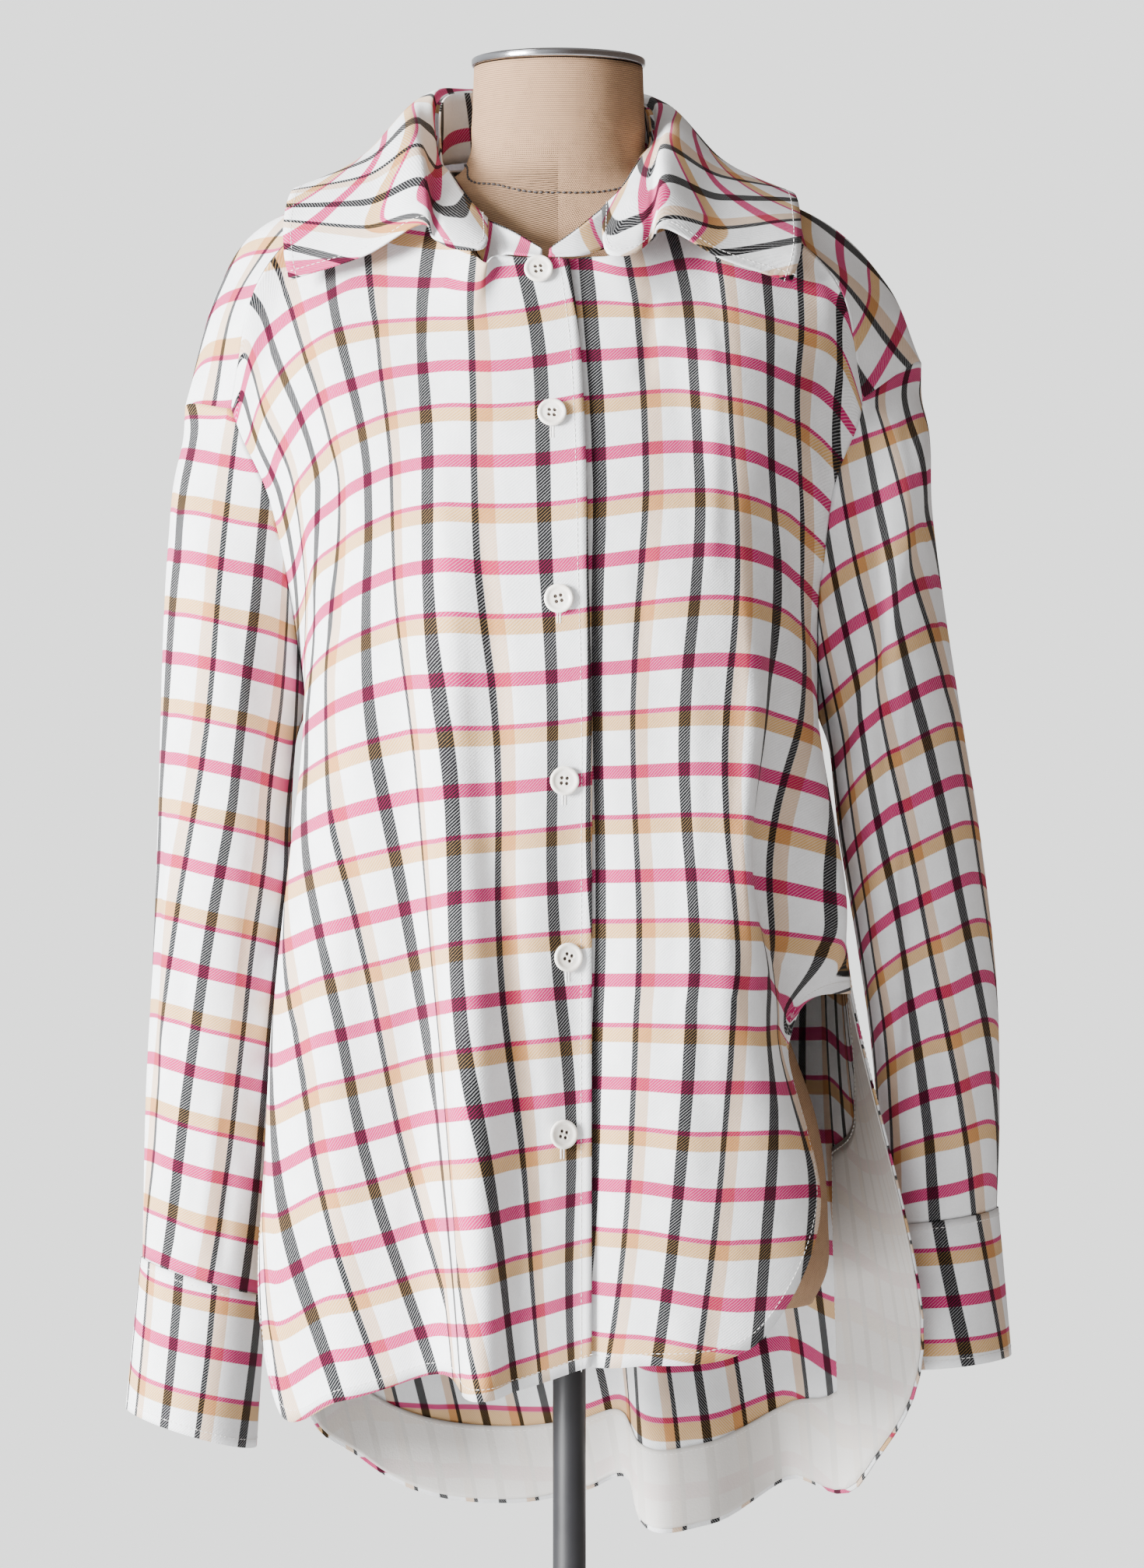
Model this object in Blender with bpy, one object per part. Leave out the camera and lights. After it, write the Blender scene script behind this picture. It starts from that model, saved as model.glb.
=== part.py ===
"""A loose button-front tunic in checked cotton, worn on a limbless dress form.

Millimetres in the tables, metres in the model. +Z is up and the front faces
-Y. The origin is the middle of the base's underside, on the pole's axis.
Every garment piece is a thin closed wall made from the sections where the cloth hangs.
"Left" and "right" in the names are the wearer's: the right front is at -X.
"""

import bmesh
import bpy
import numpy as np
from mathutils import Matrix, Vector
from mathutils.bvhtree import BVHTree

MM = 0.001

CLOTH = 1.6          # wall of the brushed twill
COLLAR_CLOTH = 1.8   # wall of the interlined stand, fall and cuffs
FACING_CLOTH = 1.0
SEAM_GAP = 0.4       # how far each edge stops short of the seam it is sewn at
LAYER_GAP = 1.0      # between a piece and the one that lies on it
FRONT_UNDERLAP = 3.0  # how far the left front lies behind the right front's plane

BUTTON_RADIUS = 8.5
BUTTON_THICK = 2.6
BUTTON_HEIGHTS = (1275, 1167, 1062, 960, 858)
BUTTON_LINES = (-10, -6, -3, -1, -4)
TOP_BUTTON = (-18, 1361)

POLE_RADIUS = 10.0
BASE_RADIUS = 165.0
BASE_THICK = 12.0
TOUCH_GAP = 0.3      # between hard pieces that rest on each other
FORM_CENTRE = -6.6   # the padded torso leans this far off the pole's axis
FORM_BOTTOM = 748.0
CAP_RADIUS = 52.6

# The padded torso, one row for each level: height, half width, front, back, squareness.
FORM_SECTIONS = (
    (748, 156, -94, 90, 2.3),
    (762, 163, -99, 97, 2.3),
    (800, 165, -101, 101, 2.3),
    (850, 160, -100, 101, 2.3),
    (930, 134, -94, 90, 2.3),
    (1000, 120, -90, 74, 2.3),
    (1060, 125, -96, 76, 2.3),
    (1150, 140, -114, 86, 2.3),
    (1215, 150, -123, 92, 2.2),
    (1260, 158, -116, 90, 2.1),
    (1300, 168, -98, 82, 1.95),
    (1340, 176, -82, 68, 1.8),
    (1364, 176, -68, 58, 1.7),
    (1380, 164, -60, 53, 1.65),
    (1395, 147, -57, 51, 1.65),
    (1408, 113, -55, 49, 1.65),
    (1418, 80.4, -53, 49, 1.7),
    (1427, 61.4, -52, 49, 1.85),
    (1438, 54, -50.5, 49, 2.0),
    (1456, 52.5, -50, 50, 2.0),
    (1492, 51, -50, 50, 2.0),
)

# Seams that two or three pieces share, from the neck outwards and down.
RIGHT_SEAMS = dict(
    shoulder=((-94, -31, 1420), (-128, -36, 1406), (-162, -38, 1389), (-189, -43, 1351),
              (-202, -38, 1284)),
    arm_front=((-202, -38, 1284), (-194, -45, 1264), (-178, -49, 1228), (-166, -34, 1168),
               (-158, -6, 1105)),
    arm_back=((-202, -38, 1284), (-232, 0, 1288), (-216, 34, 1262), (-188, 44, 1200),
              (-158, -6, 1105)),
    side=((-158, -6, 1105), (-160, -3, 1010), (-166, 1, 960), (-167, 3, 930)),
)
LEFT_SEAMS = dict(
    shoulder=((67, -31, 1423), (100, -36, 1409), (130, -38, 1390), (162, -42, 1354),
              (175, -39, 1290)),
    arm_front=((175, -39, 1290), (172, -44, 1274), (157, -50, 1234), (149, -36, 1170),
               (150, -6, 1100)),
    arm_back=((175, -39, 1290), (212, 0, 1315), (200, 34, 1285), (168, 44, 1206),
              (150, -6, 1100)),
    side=((150, -6, 1100), (160, -7, 1000), (167, -13, 962), (169.5, -13, 934)),
)

# Each panel's sections from its top edge to its hem. A row gives how far down the section
# lies, and then the places where it crosses the columns. The seams above close the sides.
RIGHT_COLUMNS = dict(edge=0, chest=0.2, crest=0.4, trough=0.47, flank=0.66, bend=0.8,
                     slit=0.91, side=1)
RIGHT_FRONT = (
    (0.00, dict(edge=(0, -94, 1368), chest=(-40, -93, 1370), crest=(-64, -84, 1380))),
    (0.09, dict(edge=(6, -108, 1322), chest=(-40, -108, 1323), crest=(-82, -100, 1325),
                trough=(-112, -90, 1326), flank=(-154, -72, 1318), bend=(-180, -54, 1296))),
    (0.22, dict(edge=(10, -134, 1242), chest=(-42, -132, 1242), crest=(-86, -122, 1240),
                trough=(-112, -110, 1238), flank=(-146, -84, 1234), bend=(-164, -62, 1230))),
    (0.32, dict(edge=(11, -141, 1189), chest=(-40, -140, 1189), crest=(-84, -133, 1186),
                trough=(-106, -119, 1182), flank=(-144, -86, 1176), bend=(-154, -60, 1172))),
    (0.44, dict(edge=(13, -144, 1110), chest=(-36, -143, 1109), crest=(-80, -138, 1104),
                trough=(-94, -122, 1100), flank=(-138, -94, 1092), bend=(-156, -56, 1092))),
    (0.58, dict(edge=(13, -146, 1018), chest=(-32, -146, 1016), crest=(-75, -143, 1010),
                trough=(-88, -120, 1006), flank=(-142, -98, 996), bend=(-167, -60, 990),
                slit=(-168, -30, 1000))),
    (0.74, dict(edge=(13, -149, 925), chest=(-29, -150, 920), crest=(-69, -149, 912),
                trough=(-80, -112, 908), flank=(-142, -98, 893), bend=(-176, -62, 885),
                slit=(-176, -28, 925))),
    (1.00, dict(edge=(13, -152, 724), chest=(-30, -153, 711), crest=(-60, -151, 708),
                trough=(-70, -104, 714), flank=(-134, -82, 697), bend=(-174, -58, 692),
                slit=(-185, -36, 790))),
)

LEFT_COLUMNS = dict(edge=0, chest=0.22, quarter=0.4, breast=0.54, crest=0.66, trough=0.72,
                    flank=0.88, side=1)
LEFT_FRONT = (
    (0.00, dict(edge=(-24, -91, 1368), chest=(8, -92, 1369), quarter=(36, -84, 1378))),
    (0.09, dict(edge=(-20, -105, 1322), chest=(22, -107, 1323), quarter=(56, -102, 1325),
                breast=(84, -95, 1326), crest=(112, -84, 1325), trough=(134, -72, 1322),
                flank=(159, -56, 1308))),
    (0.22, dict(edge=(-16, -131, 1242), chest=(28, -132, 1242), quarter=(66, -127, 1242),
                breast=(90, -119, 1241), crest=(110, -107, 1240), trough=(123, -95, 1239),
                flank=(142, -70, 1236))),
    (0.32, dict(edge=(-15, -138, 1189), chest=(28, -140, 1189), quarter=(68, -136, 1188),
                breast=(92, -127, 1187), crest=(110, -114, 1185), trough=(121, -100, 1183),
                flank=(137, -68, 1177))),
    (0.44, dict(edge=(-13, -141, 1110), chest=(28, -143, 1110), quarter=(68, -139, 1110),
                breast=(94, -132, 1108), crest=(112, -122, 1105), trough=(117, -106, 1102),
                flank=(146, -62, 1096))),
    (0.58, dict(edge=(-13, -143, 1018), chest=(28, -145, 1018), quarter=(68, -143, 1018),
                breast=(92, -138, 1017), crest=(106, -128, 1016), trough=(107, -106, 1014),
                flank=(162, -56, 1004))),
    (0.72, dict(edge=(-13, -146, 930), chest=(28, -148, 930), quarter=(71, -147, 932),
                breast=(100, -139, 938), crest=(116, -116, 948), trough=(120, -92, 952),
                flank=(162, -44, 965))),
    (1.00, dict(edge=(-13, -151, 727), chest=(36, -150, 724), quarter=(113, -137, 740),
                breast=(147, -108, 815), crest=(129, -82, 900), trough=(132, -66, 914),
                flank=(147, -38, 933))),
)

BACK_COLUMNS = dict(arm_l=0, slit_l=0.06, cap_l=0.13, sh_l=0.24, neck_l=0.36, nape_l=0.43,
                    cb=0.5, nape_r=0.56, fold_r=0.59, neck_r=0.66, sh_r=0.76, cap_r=0.87,
                    slit_r=0.94, arm_r=1)
BACK = (
    (0.00, dict(nape_l=(-78, 34, 1434), cb=(-14, 64, 1438), nape_r=(50, 34, 1434))),
    (0.07, dict(cap_l=(-212, 0, 1358), sh_l=(-186, 2, 1396), neck_l=(-112, 6, 1421),
                nape_l=(-84, 48, 1430), cb=(-14, 77, 1429), nape_r=(56, 48, 1430),
                neck_r=(85, 6, 1424), sh_r=(152, 2, 1400), cap_r=(190, 0, 1364))),
    (0.16, dict(cap_l=(-196, 44, 1318), sh_l=(-160, 58, 1352), neck_l=(-108, 72, 1374),
                cb=(-14, 88, 1386), neck_r=(80, 72, 1374), sh_r=(134, 58, 1354),
                cap_r=(174, 44, 1326))),
    (0.28, dict(cap_l=(-174, 68, 1240), sh_l=(-146, 88, 1258), neck_l=(-104, 100, 1268),
                cb=(-14, 106, 1272), neck_r=(76, 100, 1268), sh_r=(122, 88, 1258),
                cap_r=(152, 68, 1240))),
    (0.43, dict(slit_l=(-163, 24, 1112), cap_l=(-160, 56, 1122), sh_l=(-138, 90, 1132),
                neck_l=(-98, 108, 1140), cb=(-14, 114, 1142), neck_r=(72, 108, 1140),
                sh_r=(112, 90, 1132), cap_r=(142, 56, 1122), slit_r=(150, 22, 1110))),
    (0.60, dict(slit_l=(-167, 26, 1004), cap_l=(-165, 60, 998), sh_l=(-142, 94, 992),
                neck_l=(-98, 114, 988), cb=(-14, 124, 985), neck_r=(72, 114, 988),
                sh_r=(118, 96, 992), cap_r=(150, 58, 996), slit_r=(160, 22, 1000))),
    (0.78, dict(slit_l=(-169, 46, 903), cap_l=(-167, 62, 858), sh_l=(-144, 97, 838),
                neck_l=(-98, 116, 828), cb=(-14, 128, 822), nape_r=(26, 126, 822),
                fold_r=(42, 116, 824), neck_r=(74, 112, 826), sh_r=(126, 104, 836),
                cap_r=(162, 60, 850), slit_r=(174, 28, 876))),
    (1.00, dict(slit_l=(-173, 42, 790), cap_l=(-166, 62, 690), sh_l=(-130, 95, 641),
                neck_l=(-76, 114, 613), nape_l=(-30, 121, 610), cb=(10, 125, 617),
                nape_r=(39, 112, 624), fold_r=(45, 78, 604), neck_r=(84, 74, 602),
                sh_r=(136, 108, 626), cap_r=(184, 50, 638), slit_r=(214, 0, 738))),
)
# The strip inside the back's edge: how much of the last stretch above it covers.
FACING_SHARE = dict(arm_l=0.9, slit_l=0.95, cap_l=0.34, sh_l=0.24, cb=0.215, sh_r=0.22,
                    cap_r=0.3, slit_r=0.95, arm_r=0.9)

# Sleeves below the armhole, one row for each level: outer edge (x, z), inner edge (x, z),
# front and back.
RIGHT_SLEEVE = (
    (-237, 1250, -165, 1085, -51, 47),
    (-242, 1205, -167, 1058, -52, 49),
    (-245, 1155, -168, 1030, -50, 50),
    (-247, 1095, -168, 1000, -47, 51),
    (-249, 1025, -171, 962, -45, 52),
    (-252, 950, -175, 905, -43, 52),
    (-256, 872, -180, 840, -40, 49),
    (-258, 775, -184, 752, -36, 44),
)
LEFT_SLEEVE = (
    (216, 1278, 157, 1080, -51, 47),
    (219, 1225, 160, 1052, -51, 49),
    (227, 1165, 163, 1028, -46, 54),
    (238, 1098, 168, 1000, -38, 62),
    (250, 1028, 175, 962, -26, 74),
    (261, 940, 184, 905, -8, 88),
    (264, 862, 190, 842, 8, 98),
    (263, 800, 191, 790, 18, 104),
)
CAP_ANGLE = 35       # degrees round the sleeve from its outer edge to the shoulder seam
RIGHT_CUFF = ((-259, 775, -183, 752, -37, 45), (-268, 684, -189, 660, -42, 48))
LEFT_CUFF = ((264, 800, 190, 790, 17, 105), (272, 710, 195, 702, 14, 108))

# The fall, from the front edge on the wearer's right round the back to the other front edge.
FALL_COLUMNS = dict(roll=0, lobe=0.12, lip=0.22, valley=0.3, ridge=0.37, brow=0.52, wing=0.68,
                    brim=0.84, outer=1)
FALL = (
    (0.00, dict(roll=(-48, -72, 1394), lobe=(-50, -101, 1374), lip=(-69, -100, 1374),
                valley=(-79, -91, 1380), ridge=(-82, -92, 1387), wing=(-122, -79, 1371),
                outer=(-166, -66, 1358))),
    (0.06, dict(roll=(-60, -62, 1407), lobe=(-67, -77, 1398), lip=(-74, -83, 1394),
                valley=(-80, -81, 1396), ridge=(-83, -83, 1402), wing=(-122, -71, 1388),
                outer=(-169, -62, 1374))),
    (0.13, dict(roll=(-71, -42, 1424), lobe=(-76, -50, 1419), lip=(-80, -55, 1417),
                valley=(-83, -57, 1419), ridge=(-85, -60, 1425), wing=(-122, -56, 1410),
                outer=(-170, -46, 1396))),
    (0.23, dict(roll=(-79, -4, 1440), valley=(-84, -12, 1446), ridge=(-89, -17, 1452),
                wing=(-122, -14, 1436), outer=(-164, -4, 1420))),
    (0.33, dict(roll=(-79, 34, 1478), valley=(-86, 38, 1482), ridge=(-91, 41, 1480),
                wing=(-116, 49, 1450), outer=(-146, 60, 1408))),
    (0.41, dict(roll=(-56, 58, 1484), valley=(-63, 68, 1487), ridge=(-66, 72, 1484),
                wing=(-81, 90, 1452), outer=(-98, 102, 1408))),
    (0.50, dict(roll=(-14, 70, 1484), valley=(-14, 80, 1487), ridge=(-14, 85, 1484),
                wing=(-14, 97, 1456), outer=(-14, 106, 1412))),
    (0.59, dict(roll=(28, 58, 1483), valley=(35, 68, 1486), ridge=(39, 72, 1483),
                wing=(53, 90, 1450), outer=(70, 102, 1406))),
    (0.67, dict(roll=(48, 36, 1474), valley=(55, 40, 1478), ridge=(60, 42, 1476),
                wing=(86, 49, 1444), outer=(116, 60, 1406))),
    (0.77, dict(roll=(51, -2, 1450), valley=(55, -9, 1454), ridge=(60, -14, 1456),
                wing=(92, -14, 1434), outer=(134, -4, 1417))),
    (0.87, dict(roll=(43, -38, 1434), lobe=(46, -45, 1430), lip=(49, -49, 1428),
                valley=(51, -51, 1429), ridge=(53, -54, 1434), wing=(90, -53, 1412),
                outer=(138, -45, 1394))),
    (0.94, dict(roll=(32, -62, 1414), lobe=(38, -77, 1404), lip=(45, -83, 1399),
                valley=(50, -80, 1402), ridge=(53, -82, 1408), wing=(91, -69, 1389),
                outer=(137, -58, 1374))),
    (1.00, dict(roll=(19, -74, 1400), lobe=(22, -101, 1371), lip=(39, -100, 1371),
                valley=(48, -91, 1379), ridge=(51, -92, 1385), wing=(92, -77, 1369),
                outer=(132, -62, 1357))),
)

# The stand's lower edge below each row of the fall, and the (top, seam) points of its two
# front ends, from the wearer's right round to the left.
STAND_SEAM = ((-57, -79, 1378), (-71, -60, 1394), (-81, -43, 1409), (-88, -6, 1430),
              (-80, 34, 1437), (-54, 52, 1441), (-14, 66, 1442), (26, 52, 1441),
              (52, 34, 1438), (60, -6, 1433), (56, -43, 1413), (45, -60, 1395),
              (29, -79, 1379))
RIGHT_END = (((-16, -93, 1376), (-16, -98, 1371)), ((-30, -84, 1385), (-37, -94, 1373)))
LEFT_END = (((2, -86, 1386), (9, -95, 1372)), ((-12, -93, 1376), (-12, -98, 1371)))


def material(name, colour, roughness, metallic=0.0):
    """A Principled material with one colour."""
    mat = bpy.data.materials.new(name)
    mat.use_nodes = True
    shader = mat.node_tree.nodes["Principled BSDF"]
    shader.inputs["Base Color"].default_value = (*colour, 1)
    shader.inputs["Roughness"].default_value = roughness
    shader.inputs["Metallic"].default_value = metallic
    return mat


def through(knots, values, at):
    """The smooth curve through values at their knots, read at the places in at."""
    knots = np.asarray(knots, float)
    values = np.asarray(values, float)
    slopes = np.gradient(values, knots, axis=0)
    at = np.asarray(at, float)
    left = np.clip(np.searchsorted(knots, at, side="right") - 1, 0, len(knots) - 2)
    span = (knots[left + 1] - knots[left])[:, None]
    s = (at[:, None] - knots[left][:, None]) / span
    return ((2 * s**3 - 3 * s**2 + 1) * values[left] + (3 * s**2 - 2 * s**3) * values[left + 1]
            + (s**3 - 2 * s**2 + s) * span * slopes[left]
            + (s**3 - s**2) * span * slopes[left + 1])


def section(cells, columns, at):
    """One section read from its named cells."""
    names = [name for name in columns if name in cells]
    return through([columns[name] for name in names], [cells[name] for name in names], at)


def spread(knots, parts):
    """Each stretch between knots, cut into equal parts."""
    knots = list(knots)
    steps = [np.linspace(a, b, parts, endpoint=False) for a, b in zip(knots, knots[1:])]
    return np.append(np.concatenate(steps), knots[-1])


def seam(points, parts):
    """A seam's own points, in metres, which every piece sewn there shares."""
    knots = range(len(points))
    return through(knots, points, spread(knots, parts)) * MM


def panel(rows, columns, parts_across=2, parts_down=3, last_share=None):
    """A grid of points, in metres, through a table of sections.

    last_share puts the last stretch's inner rows this share of it away from the hem.
    """
    across = spread(columns.values(), parts_across)
    levels = [level for level, _ in rows]
    lines = np.array([section(cells, columns, across) for _, cells in rows])
    grid = []
    for place, line in zip(across, lines.transpose(1, 0, 2)):
        down = spread(levels, parts_down)
        if last_share:
            names = list(last_share)
            share = np.interp(place, [columns[name] for name in names],
                              [last_share[name] for name in names])
            hem_part = (levels[-1] - levels[-2]) * share
            down[-3:-1] = levels[-1] - hem_part, levels[-1] - hem_part / 2
        grid.append(through(levels, line, down))
    return np.stack(grid, axis=1) * MM


def with_sides(rows, sides):
    """The table with its side cells filled in from the seams' points."""
    filled = []
    for place, (level, cells) in enumerate(rows):
        ends = {name: points[place] for name, points in sides.items()}
        filled.append((level, {**cells, **ends}))
    return filled


def down_the_side(seams, arm):
    """A seam line from the shoulder seam's end, down the armhole and the side."""
    return [*seams[arm], *seams["side"][1:]]


def front_panel(rows, columns, seams):
    """A front: its table, closed by the shoulder seam, the armhole and the side seam."""
    names = list(columns)
    top = dict(zip(names[3:], seams["shoulder"]))
    rows = ((rows[0][0], {**rows[0][1], **top}), *rows[1:])
    side = down_the_side(seams, "arm_front")
    grid = panel(with_sides(rows, dict(side=side)), columns)
    grid[0, 6:] = seam(seams["shoulder"], 2)
    grid[:13, -1] = seam(seams["arm_front"], 3)
    grid[12:, -1] = seam(seams["side"], 3)
    return grid


def back_panel():
    """The back: its table, closed by both shoulder seams, armholes and side seams."""
    names = list(BACK_COLUMNS)
    top = dict(zip(names[4::-1], RIGHT_SEAMS["shoulder"]))
    top.update(zip(names[-5:], LEFT_SEAMS["shoulder"]))
    rows = ((BACK[0][0], {**top, **BACK[0][1]}), *BACK[1:])
    sides = dict(arm_l=down_the_side(RIGHT_SEAMS, "arm_back"),
                 arm_r=down_the_side(LEFT_SEAMS, "arm_back"))
    grid = panel(with_sides(rows, sides), BACK_COLUMNS, last_share=FACING_SHARE)
    grid[0, 8::-1] = seam(RIGHT_SEAMS["shoulder"], 2)
    grid[0, -9:] = seam(LEFT_SEAMS["shoulder"], 2)
    for column, seams in ((0, RIGHT_SEAMS), (-1, LEFT_SEAMS)):
        grid[:13, column] = seam(seams["arm_back"], 3)
        grid[12:, column] = seam(seams["side"], 3)
    return grid


def normals(grid, closed=False):
    """Unit normals of a grid of points."""
    if closed:
        across = np.roll(grid, -1, axis=1) - np.roll(grid, 1, axis=1)
    else:
        across = np.gradient(grid, axis=1)
    down = np.gradient(grid, axis=0)
    cross = np.cross(across, down)
    return cross / np.maximum(np.linalg.norm(cross, axis=2, keepdims=True), 1e-12)


def trimmed(grid, top=0.0, bottom=0.0, first=0.0, last=0.0):
    """The grid with its edges drawn in by these millimetres, clear of their neighbours."""
    grid = grid.copy()
    turned_grid = grid.transpose(1, 0, 2)
    for lines, end, amount in ((grid, 0, top), (grid, -1, bottom),
                               (turned_grid, 0, first), (turned_grid, -1, last)):
        step = lines[1 if end == 0 else -2] - lines[end]
        length = np.maximum(np.linalg.norm(step, axis=1, keepdims=True), 1e-9)
        lines[end] += step / length * np.minimum(amount * MM, length / 2)
    return grid


def finish(name, bm, mat):
    """A named object from a closed bmesh, with its faces turned out and smooth."""
    bmesh.ops.recalc_face_normals(bm, faces=bm.faces)
    bmesh.ops.triangulate(bm, faces=bm.faces)
    mesh = bpy.data.meshes.new(name)
    bm.to_mesh(mesh)
    bm.free()
    mesh.shade_smooth()
    mesh.materials.append(mat)
    obj = bpy.data.objects.new(name, mesh)
    bpy.context.collection.objects.link(obj)
    return obj


def sewn_normals(grids):
    """Each grid's normals, the same for the panels that meet at a seam's point."""
    found = {name: normals(grid) for name, grid in grids.items()}
    total = {}
    for name, grid in grids.items():
        for point, normal in zip(grid.reshape(-1, 3), found[name].reshape(-1, 3)):
            key = tuple(np.round(point, 5))
            total[key] = total.get(key, 0) + normal
    for name, grid in grids.items():
        shared = np.array([total[tuple(np.round(point, 5))] for point in grid.reshape(-1, 3)])
        shared /= np.linalg.norm(shared, axis=1, keepdims=True)
        found[name] = shared.reshape(grid.shape)
    return found


def wall(name, grid, thickness, mat, closed=False, outward=None):
    """Cloth: the grid as its outer face, and a wall of this thickness behind it."""
    if outward is None:
        outward = normals(grid, closed)
    behind = grid - outward * thickness * MM
    rows, columns = grid.shape[:2]
    bm = bmesh.new()
    front = [[bm.verts.new(p) for p in row] for row in grid]
    back = [[bm.verts.new(p) for p in row] for row in behind]
    last = columns if closed else columns - 1
    for i in range(rows - 1):
        for j in range(last):
            k = (j + 1) % columns
            bm.faces.new((front[i][j], front[i][k], front[i + 1][k], front[i + 1][j]))
            bm.faces.new((back[i][j], back[i + 1][j], back[i + 1][k], back[i][k]))
    for i in (0, rows - 1):
        for j in range(last):
            k = (j + 1) % columns
            bm.faces.new((front[i][j], front[i][k], back[i][k], back[i][j]))
    if not closed:
        for j in (0, columns - 1):
            for i in range(rows - 1):
                bm.faces.new((front[i][j], back[i][j], back[i + 1][j], front[i + 1][j]))
    return finish(name, bm, mat)


def stack(name, rings, mat):
    """A solid through rings of points, closed flat at both ends."""
    bm = bmesh.new()
    loops = [[bm.verts.new(p) for p in ring] for ring in rings]
    for low, high in zip(loops, loops[1:]):
        for j in range(len(low)):
            k = (j + 1) % len(low)
            bm.faces.new((low[j], low[k], high[k], high[j]))
    bm.faces.new(loops[0])
    bm.faces.new(loops[-1])
    return finish(name, bm, mat)


def turned(name, profile, mat, segments=32, place=Matrix.Identity(4)):
    """A turned solid from (radius, height) pairs, in millimetres."""
    angles = np.linspace(0, 2 * np.pi, segments, endpoint=False)
    rings = [[place @ (Vector((r * np.cos(a), r * np.sin(a), z)) * MM) for a in angles]
             for r, z in profile]
    return stack(name, rings, mat)


def rounded(half_width, front, back, squareness, angle):
    """A point of a torso section: a squared ellipse with its own front and back depth."""
    power = 2 / squareness
    x = half_width * np.sign(np.sin(angle)) * abs(np.sin(angle)) ** power
    depth = front if np.cos(angle) > 0 else back
    return x, depth * abs(np.cos(angle)) ** power


def dress_form(linen, metal, lacquer):
    """The torso, its neck cap, and the pole and base that carry it."""
    levels = [row[0] for row in FORM_SECTIONS]
    sizes = np.array([row[1:] for row in FORM_SECTIONS])
    angles = np.linspace(0, 2 * np.pi, 36, endpoint=False)
    rings = []
    for level in spread(levels, 1):
        size = through(levels, sizes, [level])[0]
        ring = [rounded(*size, angle) for angle in angles]
        rings.append([((x + FORM_CENTRE) * MM, y * MM, level * MM) for x, y in ring])
    stack("form_torso", rings, linen)
    top = levels[-1] + TOUCH_GAP
    cap_profile = ((CAP_RADIUS - 4, top), (CAP_RADIUS - 0.6, top + 0.4), (CAP_RADIUS, top + 1.6),
                   (CAP_RADIUS, top + 4.2), (CAP_RADIUS - 1.2, top + 5.2),
                   (CAP_RADIUS - 5, top + 5.4), (CAP_RADIUS - 7, top + 4.2))
    turned("neck_cap", cap_profile, metal, 36, Matrix.Translation((FORM_CENTRE * MM, 0, 0)))
    foot = BASE_THICK + TOUCH_GAP
    pole_profile = ((POLE_RADIUS, foot), (POLE_RADIUS, FORM_BOTTOM - TOUCH_GAP))
    turned("pole", pole_profile, lacquer, 24)
    base_profile = ((BASE_RADIUS - 1.5, 0), (BASE_RADIUS, 2), (BASE_RADIUS, BASE_THICK - 3),
                    (BASE_RADIUS - 3, BASE_THICK), (26, BASE_THICK))
    turned("base", base_profile, lacquer, 48)


def sleeve_rings(rows):
    """One oval ring for each row, starting at the shoulder seam and passing the front."""
    front_turn = np.linspace(CAP_ANGLE, 180, 12, endpoint=False)
    back_turn = np.linspace(180, 360 + CAP_ANGLE, 12, endpoint=False)
    turn = np.radians(np.concatenate([front_turn, back_turn]))
    rings = []
    for x_out, z_out, x_in, z_in, front, back in rows:
        side = np.cos(turn)
        x = (x_out + x_in) / 2 + (x_out - x_in) / 2 * side
        y = (front + back) / 2 + (front - back) / 2 * np.sin(turn)
        z = (z_out + z_in) / 2 + (z_out - z_in) / 2 * side
        rings.append(np.stack([x, y, z], axis=1) * MM)
    return rings


def armhole(seams):
    """The armhole's closed loop: down its front edge and up its back edge."""
    front = seam(seams["arm_front"], 3)
    back = seam(seams["arm_back"], 3)
    return np.concatenate([front[:-1], back[:0:-1]])


def sleeve(seams, rows, parts=2):
    """A sleeve's grid from its armhole to its cuff seam."""
    rings = np.array([armhole(seams), *sleeve_rings(rows)])
    steps = spread(range(len(rings)), parts)
    lines = [through(range(len(rings)), rings[:, i], steps) for i in range(rings.shape[1])]
    return np.stack(lines, axis=1)


def cuff(name, rows, mat, outward):
    """A plain cuff, a little wider than the sleeve it turns up from."""
    top, bottom = sleeve_rings(rows)
    grid = np.stack([top + (bottom - top) * s for s in (0, 0.5, 1)])
    return wall(name, grid[:, ::outward], COLLAR_CLOTH, mat, closed=True)


def collar(mat):
    """The fall, and the stand that joins its roll to the neck seam."""
    fall = panel(FALL, FALL_COLUMNS, 1, 2)
    wall("collar_fall", fall[:, ::-1], COLLAR_CLOTH, mat)
    levels = [level for level, _ in FALL]
    low = through(levels, STAND_SEAM, spread(levels, 2)) * MM
    right_end, left_end = (np.array(table, float) * MM for table in (RIGHT_END, LEFT_END))
    top = np.concatenate([right_end[:, 0], fall[:, 0], left_end[:, 0]])
    low = np.concatenate([right_end[:, 1], low, left_end[:, 1]])
    grid = np.stack([top + (low - top) * s for s in (0, 0.5, 1)], axis=1)
    grid += normals(grid) * 2 * COLLAR_CLOTH * MM
    grid = trimmed(grid, first=COLLAR_CLOTH + SEAM_GAP, last=SEAM_GAP)
    wall("collar_stand", grid, COLLAR_CLOTH, mat)


def facing(grid, outward, mat):
    """The strip laid inside the back's hem and slits, on the back's own last rows."""
    inner = grid - outward * (CLOTH + LAYER_GAP) * MM
    strip = trimmed(inner[-3:, 1:-1], bottom=2, first=1, last=1)
    wall("back_facing", strip, FACING_CLOTH, mat, outward=outward[-3:, 1:-1])


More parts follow.
